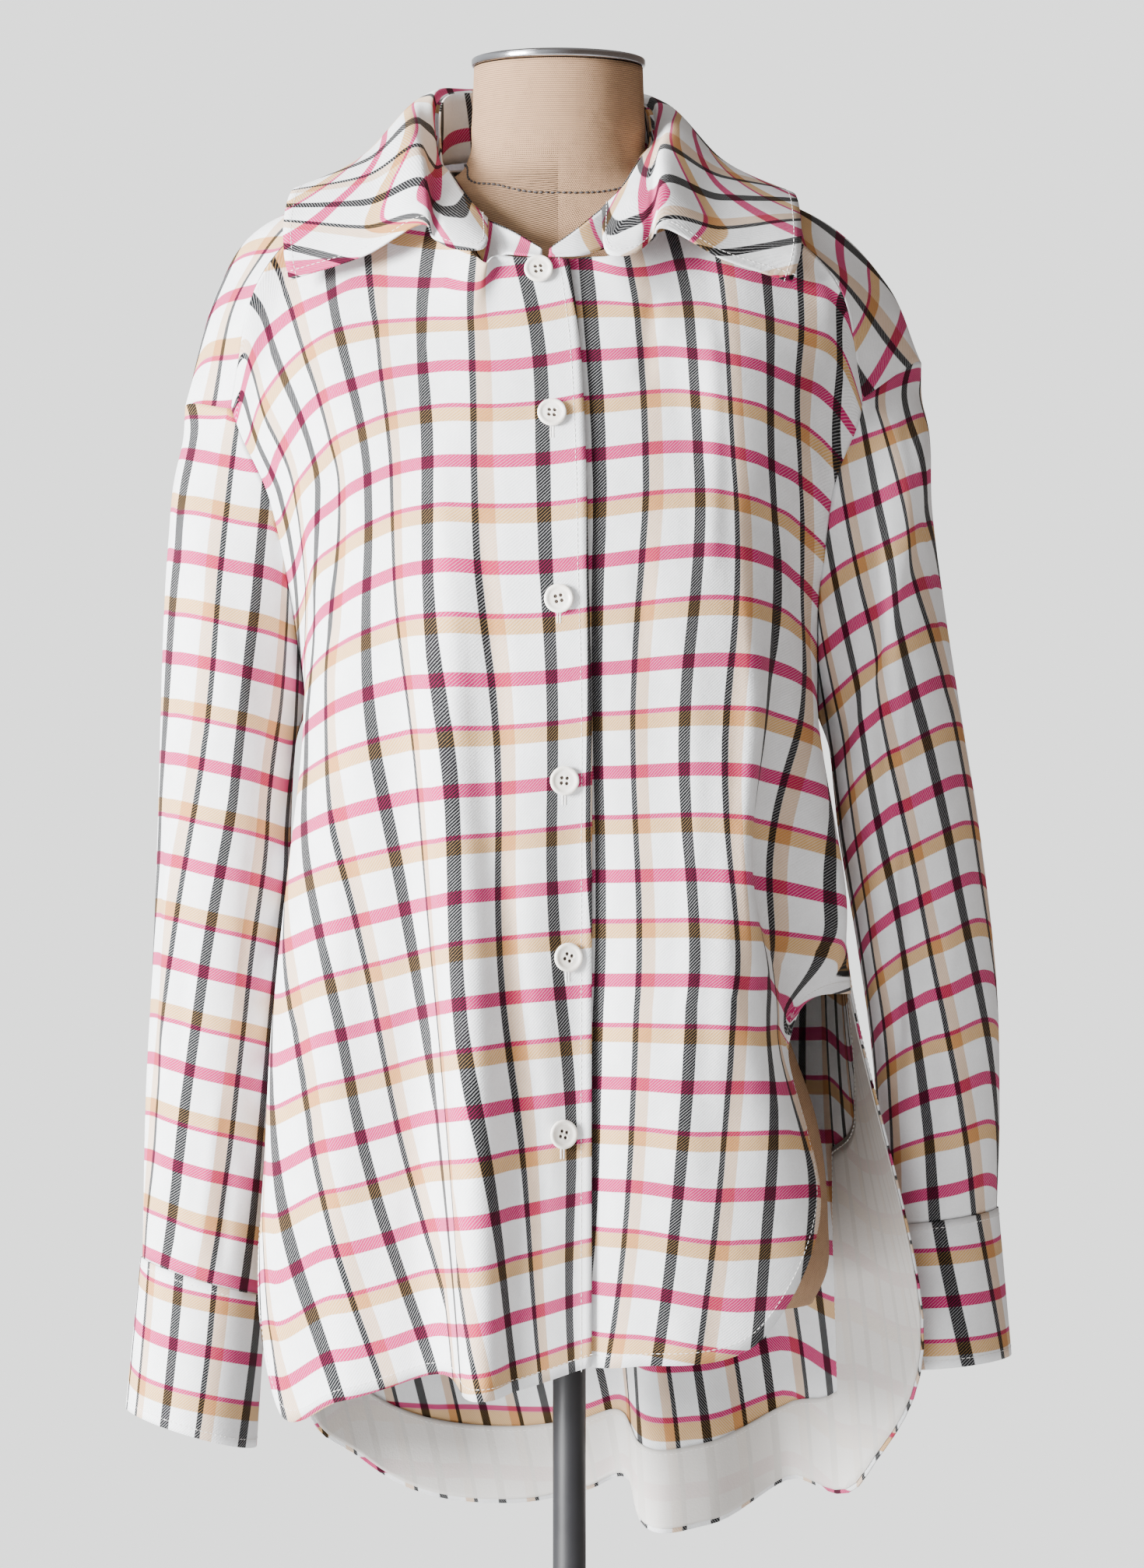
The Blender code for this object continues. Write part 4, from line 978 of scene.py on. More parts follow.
FALL_LEFT_WARP = (
    (2, (845, 174), (855, 180), (865, 190), (875, 200), (885, 210), (900, 216), (912, 220)),
    (1.433, (848, 225), (862, 235), (872, 245), (882, 250), (900, 252), (925, 254), (950, 256)),
    (1, (845, 268), (860, 271), (872, 278), (890, 284), (915, 285), (935, 285), (960, 282),
     (978, 280)),
    (0.433, (925, 323), (950, 325), (985, 325), (1000, 323)),
    (0, (985, 356), (1000, 354), (1010, 353)),
)
FALL_LEFT_WEFT = (
    (0, (842, 190), (847, 215), (853, 240), (858, 260), (862, 285), (870, 302)),
    (0.433, (862, 175), (868, 200), (872, 220), (880, 245), (890, 265), (905, 290), (918, 310),
     (938, 335)),
    (1, (893, 198), (905, 215), (920, 235), (935, 250), (960, 280), (975, 303), (990, 320),
     (1012, 350)),
)

BACK_WARP = (
    (0, (1065, 1745), (1070, 1785)), (1, (975, 1730)), (1.433, (945, 1808)), (2.433, (883, 1819)),
    (3, (824, 1815)), (4, (773, 1820)), (6, (630, 1815), (633, 1840)), (6.433, (580, 1803)),
)
BACK_WEFT = (
    (0.433, (707, 1808)),
    (0.433, (817, 1814), (870, 1822), (923, 1814), (959, 1798), (996, 1799), (1075, 1824)),
)
YOKE_WARP = (
    (1, (1050, 292), (1067, 299), (1082, 303), (1100, 318), (1122, 345), (1140, 378)),
    (0.433, (1060, 338), (1073, 346), (1087, 360), (1096, 385), (1110, 412), (1140, 436),
     (1170, 455)),
)
YOKE_WEFT = (
    (1, (1078, 300), (1085, 320), (1088, 345), (1090, 368)),
    (1.433, (1112, 335), (1112, 360), (1106, 390)),
    (2, (1154, 432), (1138, 462), (1120, 492)),
)

# %% [markdown]
# ## The brushed check
#
# The cloth is a 2/2 twill: its lines climb to the right, and the warp and weft take turns on
# top. An image of the check would blur when seen close, so the pattern is worked out from the
# cloth coordinates. One colour runs along the warp and one along the weft, and the twill's
# fine diagonals choose between them. Where one lies on top, the other still tints it.

# %% Shader maths as Python expressions
class Wire:
    """A socket of a node tree, with arithmetic that adds Math nodes."""

    def __init__(self, tree, socket):
        self.tree, self.socket = tree, socket

    def node(self, kind, inputs=(), out=0, **settings):
        """A node of this kind, with its settings, its inputs' values or links, and one output."""
        made = self.tree.nodes.new(kind)
        for name, value in settings.items():
            setattr(made, name, value)
        for key, value in dict(inputs).items():
            if isinstance(value, Wire):
                self.tree.links.new(value.socket, made.inputs[key])
            else:
                made.inputs[key].default_value = value
        return Wire(self.tree, made.outputs[out])

    def math(self, operation, *values):
        return self.node("ShaderNodeMath", enumerate(values), operation=operation)

    def __add__(self, other):
        return self.math("ADD", self, other)

    def __sub__(self, other):
        return self.math("SUBTRACT", self, other)

    def __rsub__(self, other):
        return self.math("SUBTRACT", other, self)

    def __mul__(self, other):
        return self.math("MULTIPLY", self, other)

    def __truediv__(self, other):
        return self.math("DIVIDE", self, other)

    def __abs__(self):
        return self.math("ABSOLUTE", self)

    def fraction(self):
        """What is left of this above the whole number below it."""
        return self.math("FRACT", self)

    __radd__ = __add__
    __rmul__ = __mul__

    def between(self, low, high, start=0.0, end=1.0):
        """Rises smoothly from start to end as this goes from low to high."""
        inputs = {0: self, 1: low, 2: high, 3: start, 4: end}
        return self.node("ShaderNodeMapRange", inputs, interpolation_type="SMOOTHSTEP")

    def mixed(self, first, second):
        """Two colours, mixed by this factor."""
        inputs = {0: self, 6: colour(first), 7: colour(second)}
        return self.node("ShaderNodeMix", inputs, 2, data_type="RGBA")

    def tinted(self, other, share=1.0):
        """This colour multiplied by another, as far as the share says."""
        inputs = {0: share, 6: self, 7: other}
        return self.node("ShaderNodeMix", inputs, 2, data_type="RGBA", blend_type="MULTIPLY")

    def axes(self):
        """The X, Y and Z parts of this vector."""
        parts = self.node("ShaderNodeSeparateXYZ", {0: self}).socket.node.outputs
        return [Wire(self.tree, part) for part in parts]

    def noise(self, scale, detail):
        """Smooth noise at this place."""
        inputs = {"Vector": self, "Scale": scale, "Detail": detail}
        return self.node("ShaderNodeTexNoise", inputs)

    def bump(self, strength, distance, below=None):
        """The normal of a surface with this height, laid over another bump."""
        inputs = {"Strength": strength, "Distance": distance, "Height": self}
        if below is not None:
            inputs["Normal"] = below
        return self.node("ShaderNodeBump", inputs)


def colour(value):
    """A colour as a socket takes it."""
    return value if isinstance(value, Wire) else (*value, 1)


def shown(red, green, blue):
    """A colour picked from a screen, in 0 to 255, as light."""
    parts = (red / 255, green / 255, blue / 255)
    return tuple(((p + 0.055) / 1.055) ** 2.4 if p > 0.04 else p / 12.92 for p in parts)


def new_material(name, constants):
    """A material with its shader's constants, the shader, and a wire to start from."""
    material = bpy.data.materials.new(name)
    material.use_nodes = True
    shader = material.node_tree.nodes["Principled BSDF"]
    for key, value in constants.items():
        shader.inputs[key].default_value = value
    return material, shader, Wire(material.node_tree, None)


def own_place(wire):
    """Where a point lies in the piece's own space, in metres."""
    return wire.node("ShaderNodeTexCoord", out=3)


def cloth_place(wire):
    """Where a point lies on the cut, across and down."""
    return wire.node("ShaderNodeUVMap", uv_map="cloth").axes()[:2]


def plug(wire, shader, name):
    """Links an expression to one of the shader's sockets."""
    wire.tree.links.new(wire.socket, shader.inputs[name])


# %% The check and its twill
# Each stripe's middle and width, in repeats of the check.
WARP = dict(wide=(0.0, 0.128), thin=(0.433, 0.066), tan=(0.535, 0.139))
WEFT = dict(wide=(0.0, 0.131), thin=(0.433, 0.048), tan=(0.527, 0.142))
TWILL_PITCH = 2.0         # between the twill's lines, along the weft, in millimetres
SHOW_THROUGH = 0.79        # how far the yarn underneath colours the one on top
WHITE_YARN = (0.88, 0.89, 0.90)
CHARCOAL_YARN = shown(8, 8, 12)
TAN_WARP = shown(214, 184, 156)
TAN_WEFT = shown(206, 160, 98)
PINK_YARN = shown(186, 0, 95)


def stripe(place, centre, width, edge=0.006):
    """1 inside a stripe of this centre and width, in repeats."""
    away = abs((place - (centre - 0.5)).fraction() - 0.5)
    return 1 - away.between(width / 2 - edge, width / 2 + edge)


def yarns(place, bands, colours):
    """The yarns' colour one way, white but for their stripes, and where it is a strong one."""
    tan, thin, wide = (stripe(place, *bands[name]) for name in ("tan", "thin", "wide"))
    found = tan.mixed(WHITE_YARN, colours["tan"])
    found = thin.mixed(found, colours["thin"])
    return wide.mixed(found, colours["wide"]), wide + thin


WARP_YARNS = dict(wide=CHARCOAL_YARN, thin=CHARCOAL_YARN, tan=TAN_WARP)
WEFT_YARNS = dict(wide=PINK_YARN, thin=PINK_YARN, tan=TAN_WEFT)


# %% The brushed check
FIBRES = (900.0, 2.0)     # each noise's scale and detail
PUCKERS = (55.0, 3.0)
WAVES = (16.0, 1.0)
PUCKER_SHIFT = 0.008      # how far puckers and waves push the stripes, in repeats
WAVE_SHIFT = 0.01
TWILL_STRAY = 0.35        # how unevenly the twill's lines run, in parts of their pitch
STRONG_YARN = 0.09        # how much wider a dark or pink yarn lies on top than a white one


def nap(place):
    """The brushed surface: fine fibres, and the soft unevenness of washed cotton."""
    return place.noise(*FIBRES), place.noise(*PUCKERS), place.noise(*WAVES)


def check_material():
    """The brushed twill with its check."""
    constants = {"Roughness": 0.92, "Specular IOR Level": 0.15, "Sheen Weight": 0.03,
                 "Sheen Roughness": 0.6}
    material, shader, wire = new_material("checked_twill", constants)
    fibres, puckers, waves = nap(own_place(wire))
    across, down = cloth_place(wire)
    across = across + (puckers - 0.5) * PUCKER_SHIFT
    down = down + (waves - 0.5) * WAVE_SHIFT
    warp, charcoal = yarns(across, WARP, WARP_YARNS)
    weft, pink = yarns(down, WEFT, WEFT_YARNS)
    steps = across * (REPEAT_ACROSS / TWILL_PITCH) + down * (REPEAT_DOWN / TWILL_PITCH)
    line = abs((steps + (fibres - 0.5) * TWILL_STRAY).fraction() - 0.5)
    weft_up = (line - (charcoal - pink) * STRONG_YARN).between(0.16, 0.34)
    woven = weft_up.mixed(warp.tinted(weft, SHOW_THROUGH), weft.tinted(warp, SHOW_THROUGH))
    # The puckers' low places darken the colour as painted shade; the fibres vary it a little as
    # the nap's own tone.
    pucker_shade_and_nap_tone = puckers.between(0.3, 0.7, 0.93, 1.0) * fibres.between(0.3, 0.7, 0.96, 1.0)
    plug(woven.tinted(pucker_shade_and_nap_tone), shader, "Base Color")
    soft = puckers.bump(0.4, 0.0014, waves.bump(0.55, 0.004))
    plug((weft_up + fibres).bump(0.3, 0.0003, soft), shader, "Normal")
    return material


# %% The facing and the torso's linen
FACING_WHITE = (0.60, 0.58, 0.55)
FACING_CLEAR = 0.09       # how far the check shows through the facing
LINEN_PITCH = 1.2         # between two threads, in millimetres
LINEN_LIGHT = shown(174, 139, 108)
# the dark end: painted shade in the weave's gaps, and the linen's darker slubs
LINEN_SLUBS_AND_GAP_SHADE = shown(30, 19, 11)


def facing_material():
    """Thin white cotton, which the check shows faintly through."""
    material, shader, wire = new_material("white_facing", {"Roughness": 0.85})
    fibres, puckers, waves = nap(own_place(wire))
    across, down = cloth_place(wire)
    warp, _ = yarns(across, WARP, WARP_YARNS)
    weft, _ = yarns(down, WEFT, WEFT_YARNS)
    inputs = {0: FACING_CLEAR, 6: colour(FACING_WHITE), 7: warp.tinted(weft)}
    plug(wire.node("ShaderNodeMix", inputs, 2, data_type="RGBA"), shader, "Base Color")
    height = puckers + fibres * 0.4
    plug(height.bump(0.35, 0.001, waves.bump(0.5, 0.003)), shader, "Normal")
    return material


def linen_material():
    """Coarse plain linen, with painted shade in the gaps between its threads and along their
    edges.
    """
    constants = {"Roughness": 0.85, "Specular IOR Level": 0.2}
    material, shader, wire = new_material("linen", constants)
    place = own_place(wire)
    slubs, fibres = place.noise(140.0, 3.0), place.noise(1400.0, 2.0)
    across, down = cloth_place(wire)
    threads = down / LINEN_PITCH
    column = across / LINEN_PITCH + threads.math("FLOOR", threads) * 0.5
    beside = abs(column.fraction() - 0.5)
    gap_shade_and_dip = beside.between(0.16, 0.42) * abs(threads.fraction() - 0.5).between(0.1, 0.45)
    ends = beside.between(0.3, 0.5)
    # The gaps and the threads' edges darken the colour as painted shade; the slubs and fibres vary
    # the linen's own tone.
    tone = gap_shade_and_dip * 0.75 + ends * 0.12 + (slubs - 0.5) * 0.5 + (fibres - 0.5) * 0.3
    plug(tone.between(0.0, 0.8).mixed(LINEN_LIGHT, LINEN_SLUBS_AND_GAP_SHADE), shader, "Base Color")
    plug((slubs * 0.6 - gap_shade_and_dip).bump(0.9, 0.0008), shader, "Normal")
    return material


# %% Shell, metal, lacquer and thread
SHELL_TONES = ((0.80, 0.76, 0.68), (0.90, 0.88, 0.82))


def shell_material():
    """Polished cream shell with a faint cloudy figure."""
    material, shader, wire = new_material("cream_shell", {"Roughness": 0.3, "Coat Weight": 0.3})
    cloud = own_place(wire).noise(120.0, 3.0)
    plug(cloud.between(0.35, 0.7).mixed(*SHELL_TONES), shader, "Base Color")
    return material


def plain_material(name, tone, roughness, metallic=0.0, grain=0.0):
    """A smooth material, its roughness a little uneven."""
    constants = {"Base Color": colour(tone), "Metallic": metallic}
    material, shader, wire = new_material(name, constants)
    marks = own_place(wire).noise(40.0, 5.0)
    plug(marks.between(0.3, 0.7, roughness - grain, roughness + grain), shader, "Roughness")
    return material


check = check_material()
linen = linen_material()
white_facing = facing_material()
lacquer = plain_material("black_lacquer", (0.012, 0.012, 0.014), 0.38, grain=0.05)
metal = plain_material("dark_metal", (0.33, 0.33, 0.34), 0.2, 1.0, 0.06)
shell = shell_material()
white_thread = plain_material("white_thread", (0.78, 0.77, 0.75), 0.8, grain=0.05)
# near-black painted shade, for the blobs down the buttons' holes
hole_shade_blob = plain_material("hole_shade_blob", (0.045, 0.03, 0.022), 0.8, grain=0.05)
dark_thread = plain_material("dark_thread", (0.04, 0.035, 0.035), 0.8, grain=0.05)
print("materials:", len(bpy.data.materials))

# %% Laying the check and making the checked pieces
SHEET = 1.3 * MM          # the twill's own thickness
YOKE_ROWS = 27            # rows of the back above the yoke's seam
FALL_ROUND = 6.5          # repeats round the back of the neck, from wing to wing
FALL_MIDDLE = 84          # the row of the fall behind the neck
BACK_MIDDLE = 52          # the column down the back's middle
FRONT_FOLDS = 0.35        # how much the folds' depth lengthens the check down the cloth
BACK_FOLDS = 0.25
FRONT_EASE = 9            # and the bells, in points, that ease the folds out across it
BACK_EASE = 6

outward = all_normals()         # the creased cloth has normals of its own
fall_warp = FALL_RIGHT_WARP + tuple((number - FALL_ROUND, *marks)
                                    for number, *marks in FALL_LEFT_WARP)
fall_weft = FALL_RIGHT_WEFT + FALL_LEFT_WEFT
front_cloth = dict(datum=TOP_LEVEL, depth=FRONT_FOLDS, ease=FRONT_EASE)
back_cloth = dict(datum=TOP_LEVEL, depth=BACK_FOLDS, zero=BACK_MIDDLE, ease=BACK_EASE,
                  start=YOKE_ROWS)
fall_cloth = dict(turn=(-1, -1), turned=True, zero=-1, start=FALL_MIDDLE)
right_tube = dict(closed=True, datum=TOP_LEVEL, zero=RING_PARTS // 2)
left_tube = dict(closed=True, datum=TOP_LEVEL, zero=RING_PARTS * 3 // 2)
MARKS = dict(front_right=(FRONT_RIGHT_WARP, FRONT_RIGHT_WEFT, front_cloth),
             front_left=(FRONT_LEFT_WARP, FRONT_LEFT_WEFT, dict(zero=-1, **front_cloth)),
             sleeve_right=(SLEEVE_RIGHT_WARP, SLEEVE_RIGHT_WEFT, dict(turn=(1, -1), **right_tube)),
             sleeve_left=(SLEEVE_LEFT_WARP, SLEEVE_LEFT_WEFT, left_tube),
             cuff_right=(CUFF_RIGHT_WARP, CUFF_RIGHT_WEFT, right_tube),
             cuff_left=(CUFF_LEFT_WARP, CUFF_LEFT_WEFT, left_tube),
             collar_fall=(fall_warp, fall_weft, fall_cloth),
             back=(BACK_WARP, BACK_WEFT, back_cloth))
cloths = {}
for name, grid in smooth_grids.items():
    warp_marks, weft_marks, how = MARKS[name]
    seen_side = smooth_outward[name] * (-1 if name == "back" else 1)
    cloths[name] = lay_check(grid, seen_side, warp_marks, weft_marks, **how)
yoke_cloth = lay_check(smooth_grids["back"], smooth_outward["back"], YOKE_WARP, YOKE_WEFT,
                       turn=(1, 1), turned=True, zero=BACK_MIDDLE)


def placed(piece, slot, *nodes):
    """The piece rides with the model and stands for these nodes, which it hides. The slot is not
    used.
    """
    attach(piece, "root")
    if nodes:
        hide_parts(*nodes)
    return piece


made = {}
pieces = [(name, name, slice(None), cloths[name]) for name in grids if name != "back"]
pieces += [("back", "back", slice(YOKE_ROWS, None), cloths["back"]),
           ("yoke", "back", slice(None, YOKE_ROWS + 1), yoke_cloth)]
for name, node, rows, cloth in pieces:
    front = grids[node][rows]
    sheet = cloth_sheet("cloth_" + name, front, front - outward[node][rows] * SHEET, cloth[rows],
                        check, is_tube(name))
    made[name] = placed(sheet, "checked_twill", node)
print({name: len(piece.data.polygons) for name, piece in made.items()})

# %% [markdown]
# ## The collar's stand
#
# The stand joins the fall's roll to the neck seam. Its inner face shows at the back of the
# neck, behind the form, and as a narrow band above the top button. The cut is so curved that
# the check runs up it at the back and along it at the front ends.

# %% The stand
# The stand's lower edge below each row of the fall, and the (top, seam) points of its two
# front ends, from the wearer's right round to the left.
STAND_SEAM = ((-57, -79, 1378), (-71, -60, 1394), (-81, -43, 1409), (-88, -6, 1430),
              (-80, 34, 1437), (-54, 52, 1441), (-14, 66, 1442), (26, 52, 1441),
              (52, 34, 1438), (60, -6, 1433), (56, -43, 1413), (45, -60, 1395),
              (29, -79, 1379))
RIGHT_END = (((-16, -93, 1376), (-16, -98, 1371)), ((-30, -84, 1385), (-37, -94, 1373)))
LEFT_END = (((2, -86, 1386), (9, -95, 1372)), ((-12, -93, 1376), (-12, -98, 1371)))
COLLAR_WALL = 1.8         # between the fall and the stand, for the interlining
FRONT_END = 105.0         # how far the turned check goes from each end, in millimetres
STAND_WARP = ((0, (565, 150), (566, 180), (566, 200)), (0.433, (607, 150), (606, 165)))
STAND_WEFT = ((0, (562, 181), (585, 177), (604, 173)),)
BAND_RIGHT = (640, 300)   # where the thin pink stripe crosses the band on each side
BAND_LEFT = (762, 300)
LOBE_END = 624            # where the stand reaches lowest, in the picture, how far that
LOBE_WIDTH = 14           # reaches to each side, and how much lower it is, in millimetres
LOBE_DROP = 11
STAND_PARTS = 8           # points down the stand, and along each of its free ends
END_PARTS = 10
STAND_BOW = 0.8           # how far the stand bows out between its edges
STAND_EASE = 3            # its directions are eased by a bell of this many points
THIN = WEFT["thin"][0]    # the thin stripes' place, in repeats
BAND_WARP = 0.05          # and where the turned check starts across the band

levels = [level for level, _ in FALL]
stand_low = through(levels, STAND_SEAM, spread(levels, FALL_PARTS[1])) * MM
roll = grids["collar_fall"][:, -1]
ends = [np.array(table, float) * MM for table in (RIGHT_END, LEFT_END)]
parts = spread(range(3), END_PARTS)
first_top = through(range(3), [*ends[0][:, 0], roll[0]], parts)[:-1]
first_low = through(range(3), [*ends[0][:, 1], stand_low[0]], parts)[:-1]
under_lobe = np.exp(-((in_picture(first_low)[:, 0] - LOBE_END) / LOBE_WIDTH) ** 2)
first_low[:, 2] -= under_lobe * LOBE_DROP * MM
last_top = through(range(3), [roll[-1], *ends[1][:, 0]], parts)[1:]
last_low = through(range(3), [stand_low[-1], *ends[1][:, 1]], parts)[1:]
top_edge = np.concatenate([first_top, roll, last_top])
low_edge = np.concatenate([first_low, stand_low, last_low])
steps = np.linspace(0, 1, STAND_PARTS + 1)
stand = np.stack([top_edge + (low_edge - top_edge) * s for s in steps], axis=1)
stand_out = smoothed(normals(stand), STAND_EASE, 0)
stand_out /= np.linalg.norm(stand_out, axis=2, keepdims=True)
bow = np.sin(np.pi * steps)[None, :, None] * STAND_BOW
stand = stand + stand_out * (2 * COLLAR_WALL + bow) * MM
stand_cloth = lay_check(stand, stand_out, STAND_WARP, STAND_WEFT, turn=(1, 1), turned=True)
lengths = cloth_lengths(stand)
middle = lengths[:, STAND_PARTS // 2, 1]
for mark, end in ((BAND_RIGHT, middle < FRONT_END), (BAND_LEFT, middle > middle[-1] - FRONT_END)):
    near = np.linalg.norm(in_picture(stand[:, STAND_PARTS // 2]) - mark, axis=1)
    start = middle[end][near[end].argmin()]
    stand_cloth[end, :, 1] = THIN + (lengths[end][..., 1] - start) / REPEAT_DOWN
    stand_cloth[end, :, 0] = BAND_WARP + lengths[end][..., 0] / REPEAT_ACROSS
piece = cloth_sheet("cloth_collar_stand", stand, stand - stand_out * SHEET, stand_cloth, check)
made["collar_stand"] = placed(piece, "checked_twill", "collar_stand")
print("stand:", round(middle[-1]), "mm along its middle")

# %% [markdown]
# ## The back's facing
#
# A strip of thin white cotton is laid inside the back's hem and up its slits. It follows the
# back's own last rows, a layer further in, and stops 2 mm short of the edge.

# %% The facing
# The strip inside the back's edge: how much of the last stretch above it covers.
FACING_SHARE = dict(arm_l=0.9, slit_l=0.95, cap_l=0.34, sh_l=0.24, cb=0.215, sh_r=0.22,
                    cap_r=0.3, slit_r=0.95, arm_r=0.9)
FACING_SHEET = 0.8 * MM
FACING_GAP = 0.35 * MM
FACING_ROWS = 20
FACING_EDGE = 0.012       # the share of the last stretch that the back's edge is left bare
UPRIGHT_COLUMNS = (0.15, 0.165, 0.845, 0.86)     # the slits lie outside these columns
UPRIGHT_SHARE = 0.93      # up the slits the strip keeps its width to the top
back_rows = grids["back"][-FINE_DOWN - 1:]
inward = -outward["back"][-FINE_DOWN - 1:]
hem_cloth = cloths["back"][-FINE_DOWN - 1:]
columns_at = spread(BACK_COLUMNS.values(), FINE_ACROSS * 2 // 3)
names = list(FACING_SHARE)
share = np.interp(columns_at, [BACK_COLUMNS[name] for name in names],
                  [FACING_SHARE[name] for name in names])
upright = np.interp(columns_at, UPRIGHT_COLUMNS, (UPRIGHT_SHARE, 0, 0, UPRIGHT_SHARE))
share = np.maximum(share, upright)
depth_down = np.linspace(0, 1, FACING_ROWS)[:, None] * (share - FACING_EDGE) + (1 - share)
at = np.clip(depth_down, 0, 1) * FINE_DOWN
low = np.minimum(at.astype(int), FINE_DOWN - 1)
part = (at - low)[..., None]
column = np.arange(len(share))[None]


def on_back(rows):
    """The back's rows read at the facing's own places."""
    return rows[low, column] * (1 - part) + rows[low + 1, column] * part


facing_in = on_back(inward)
facing_in /= np.linalg.norm(facing_in, axis=2, keepdims=True)
facing_far = on_back(back_rows) + facing_in * (SHEET + FACING_GAP)
facing_near = facing_far + facing_in * FACING_SHEET
keep = slice(1, -1)
piece = cloth_sheet("cloth_back_facing", facing_near[::-1, keep], facing_far[::-1, keep],
                    on_back(hem_cloth)[::-1, keep], white_facing)
made["back_facing"] = placed(piece, "white_facing", "back_facing")
print("facing:", facing_near.shape[:2])

# %% [markdown]
# ## The dress form
#
# A real one is a padded shell with linen stretched over it and sewn at the neck. A subdivided
# cube could be sculpted, but the garment touches the torso only where its sections say, so
# the same sections are read here at finer steps. The cap, the pole and the base are turned.

# %% The torso's sections
# The padded torso, one row for each level: height, half width, front, back, squareness.
FORM_SECTIONS = (
    (748, 156, -94, 90, 2.3),
    (762, 163, -99, 97, 2.3),
    (800, 165, -101, 101, 2.3),
    (850, 160, -100, 101, 2.3),
    (930, 134, -94, 90, 2.3),
    (1000, 120, -90, 74, 2.3),
    (1060, 125, -96, 76, 2.3),
    (1150, 140, -114, 86, 2.3),
    (1215, 150, -123, 92, 2.2),
    (1260, 158, -116, 90, 2.1),
    (1300, 168, -98, 82, 1.95),
    (1340, 176, -82, 68, 1.8),
    (1364, 176, -68, 58, 1.7),
    (1380, 164, -60, 53, 1.65),
    (1395, 147, -57, 51, 1.65),
    (1408, 113, -55, 49, 1.65),
    (1418, 80.4, -53, 49, 1.7),
    (1427, 61.4, -52, 49, 1.85),
    (1438, 54, -50.5, 49, 2.0),
    (1456, 52.5, -50, 50, 2.0),
    (1492, 51, -50, 50, 2.0),
)

# %% The torso
FORM_TURNS = 120          # points round the torso
FORM_PARTS = 10           # points between two of its sections
FORM_CENTRE = -6.6        # the padded torso leans this far off the pole's axis
HIP_SLACK = 2.5           # the linen lies this far inside the padding's sections at the hip
HIP_TOP = 1000.0          # and starts to below this height, over this much of it
HIP_EASE = 100.0


def rounded(half_width, front, back, squareness, angle):
    """A point of a torso section: a squared ellipse with its own front and back depth."""
    power = 2 / squareness
    x = half_width * np.sign(np.sin(angle)) * abs(np.sin(angle)) ** power
    depth = np.where(np.cos(angle) > 0, front, back)
    return np.stack([x, depth * abs(np.cos(angle)) ** power], axis=-1)


form_levels = [row[0] for row in FORM_SECTIONS]
form_sizes = np.array([row[1:] for row in FORM_SECTIONS], float)


def form_ring(heights, angles):
    """Points of the torso, in millimetres, at these heights and angles."""
    sizes = through(form_levels, form_sizes, np.ravel(heights))
    slack = np.clip((HIP_TOP - np.ravel(heights)) / HIP_EASE, 0, 1) * HIP_SLACK
    sizes[:, :3] -= np.sign(sizes[:, :3]) * slack[:, None]
    flat = np.array([rounded(*size, angle) for size, angle in zip(sizes, np.ravel(angles))])
    return np.c_[flat[:, 0] + FORM_CENTRE, flat[:, 1], np.ravel(heights)]


form_heights = spread(form_levels, FORM_PARTS)[::-1]
turns = np.linspace(0, 2 * np.pi, FORM_TURNS, endpoint=False)
grid_heights, grid_turns = np.meshgrid(form_heights, turns, indexing="ij")
torso = form_ring(grid_heights, grid_turns).reshape(*grid_heights.shape, 3) * MM
weave = cloth_lengths(torso, closed=True)


def closed_solid(name, rings, uv, material):
    """A solid through rings of points from its top to its bottom, closed at both ends."""
    rows, count = rings.shape[:2]
    i, j = np.meshgrid(np.arange(rows - 1), np.arange(count), indexing="ij")
    i, j = i.ravel(), j.ravel()
    k = (j + 1) % count
    faces = np.stack([i * count + j, (i + 1) * count + j, (i + 1) * count + k, i * count + k], 1)
    caps = [list(range(count)), list(range((rows - 1) * count, rows * count))[::-1]]
    mesh = bpy.data.meshes.new(name)
    mesh.from_pydata(rings.reshape(-1, 3), [], faces.tolist() + caps)
    if uv is not None:
        layer = mesh.uv_layers.new(name="cloth")
        sides = np.stack([uv[i, j], uv[i + 1, j], uv[i + 1, j + 1], uv[i, j + 1]], axis=1)
        ends = np.zeros((2 * count, 2))
        layer.data.foreach_set("uv", np.r_[sides.reshape(-1, 2), ends].ravel())
    mesh.shade_smooth()
    for face in mesh.polygons[-2:]:
        face.use_smooth = False
    mesh.materials.append(material)
    solid = bmesh.new()
    solid.from_mesh(mesh)
    bmesh.ops.recalc_face_normals(solid, faces=solid.faces)
    solid.to_mesh(mesh)
    solid.free()
    return added(name, mesh)


placed(closed_solid("form_linen", torso, weave, linen), "linen", "form_torso")


# %% The cap, the pole and the base
POLE_RADIUS = 10.0
BASE_RADIUS = 165.0
BASE_THICK = 12.0
TOUCH_GAP = 0.3      # between hard pieces that rest on each other
FORM_BOTTOM = 748.0
CAP_RADIUS = 52.6
# The turned edges, as pairs of how far inside the rim and how high above the foot.
CAP_EDGE = ((7, 4.2), (6, 4.5), (5, 5.2), (4.2, 5.4), (1.8, 5.3), (0.7, 4.9), (0.1, 4.2),
            (0, 3.4), (0, 1.6), (0.3, 0.8), (1, 0.3), (4, 0))
BASE_EDGE = ((BASE_RADIUS - 26, BASE_THICK), (4, BASE_THICK), (1.6, BASE_THICK - 0.9),
             (0.4, BASE_THICK - 2.6), (0, BASE_THICK - 4.5), (0, 2), (0.4, 0.8), (1.5, 0))


def turned(name, profile, material, count=96, across=0.0):
    """A turned solid from (radius, height) pairs, in millimetres, from its top down."""
    spin = np.linspace(0, 2 * np.pi, count, endpoint=False)
    rings = np.array([np.stack([r * np.cos(spin) + across, r * np.sin(spin),
                                np.full(count, z)], axis=1) for r, z in profile])
    solid = closed_solid(name, rings * MM, None, material)
    solid.data.set_sharp_from_angle(angle=math.radians(35))
    return solid


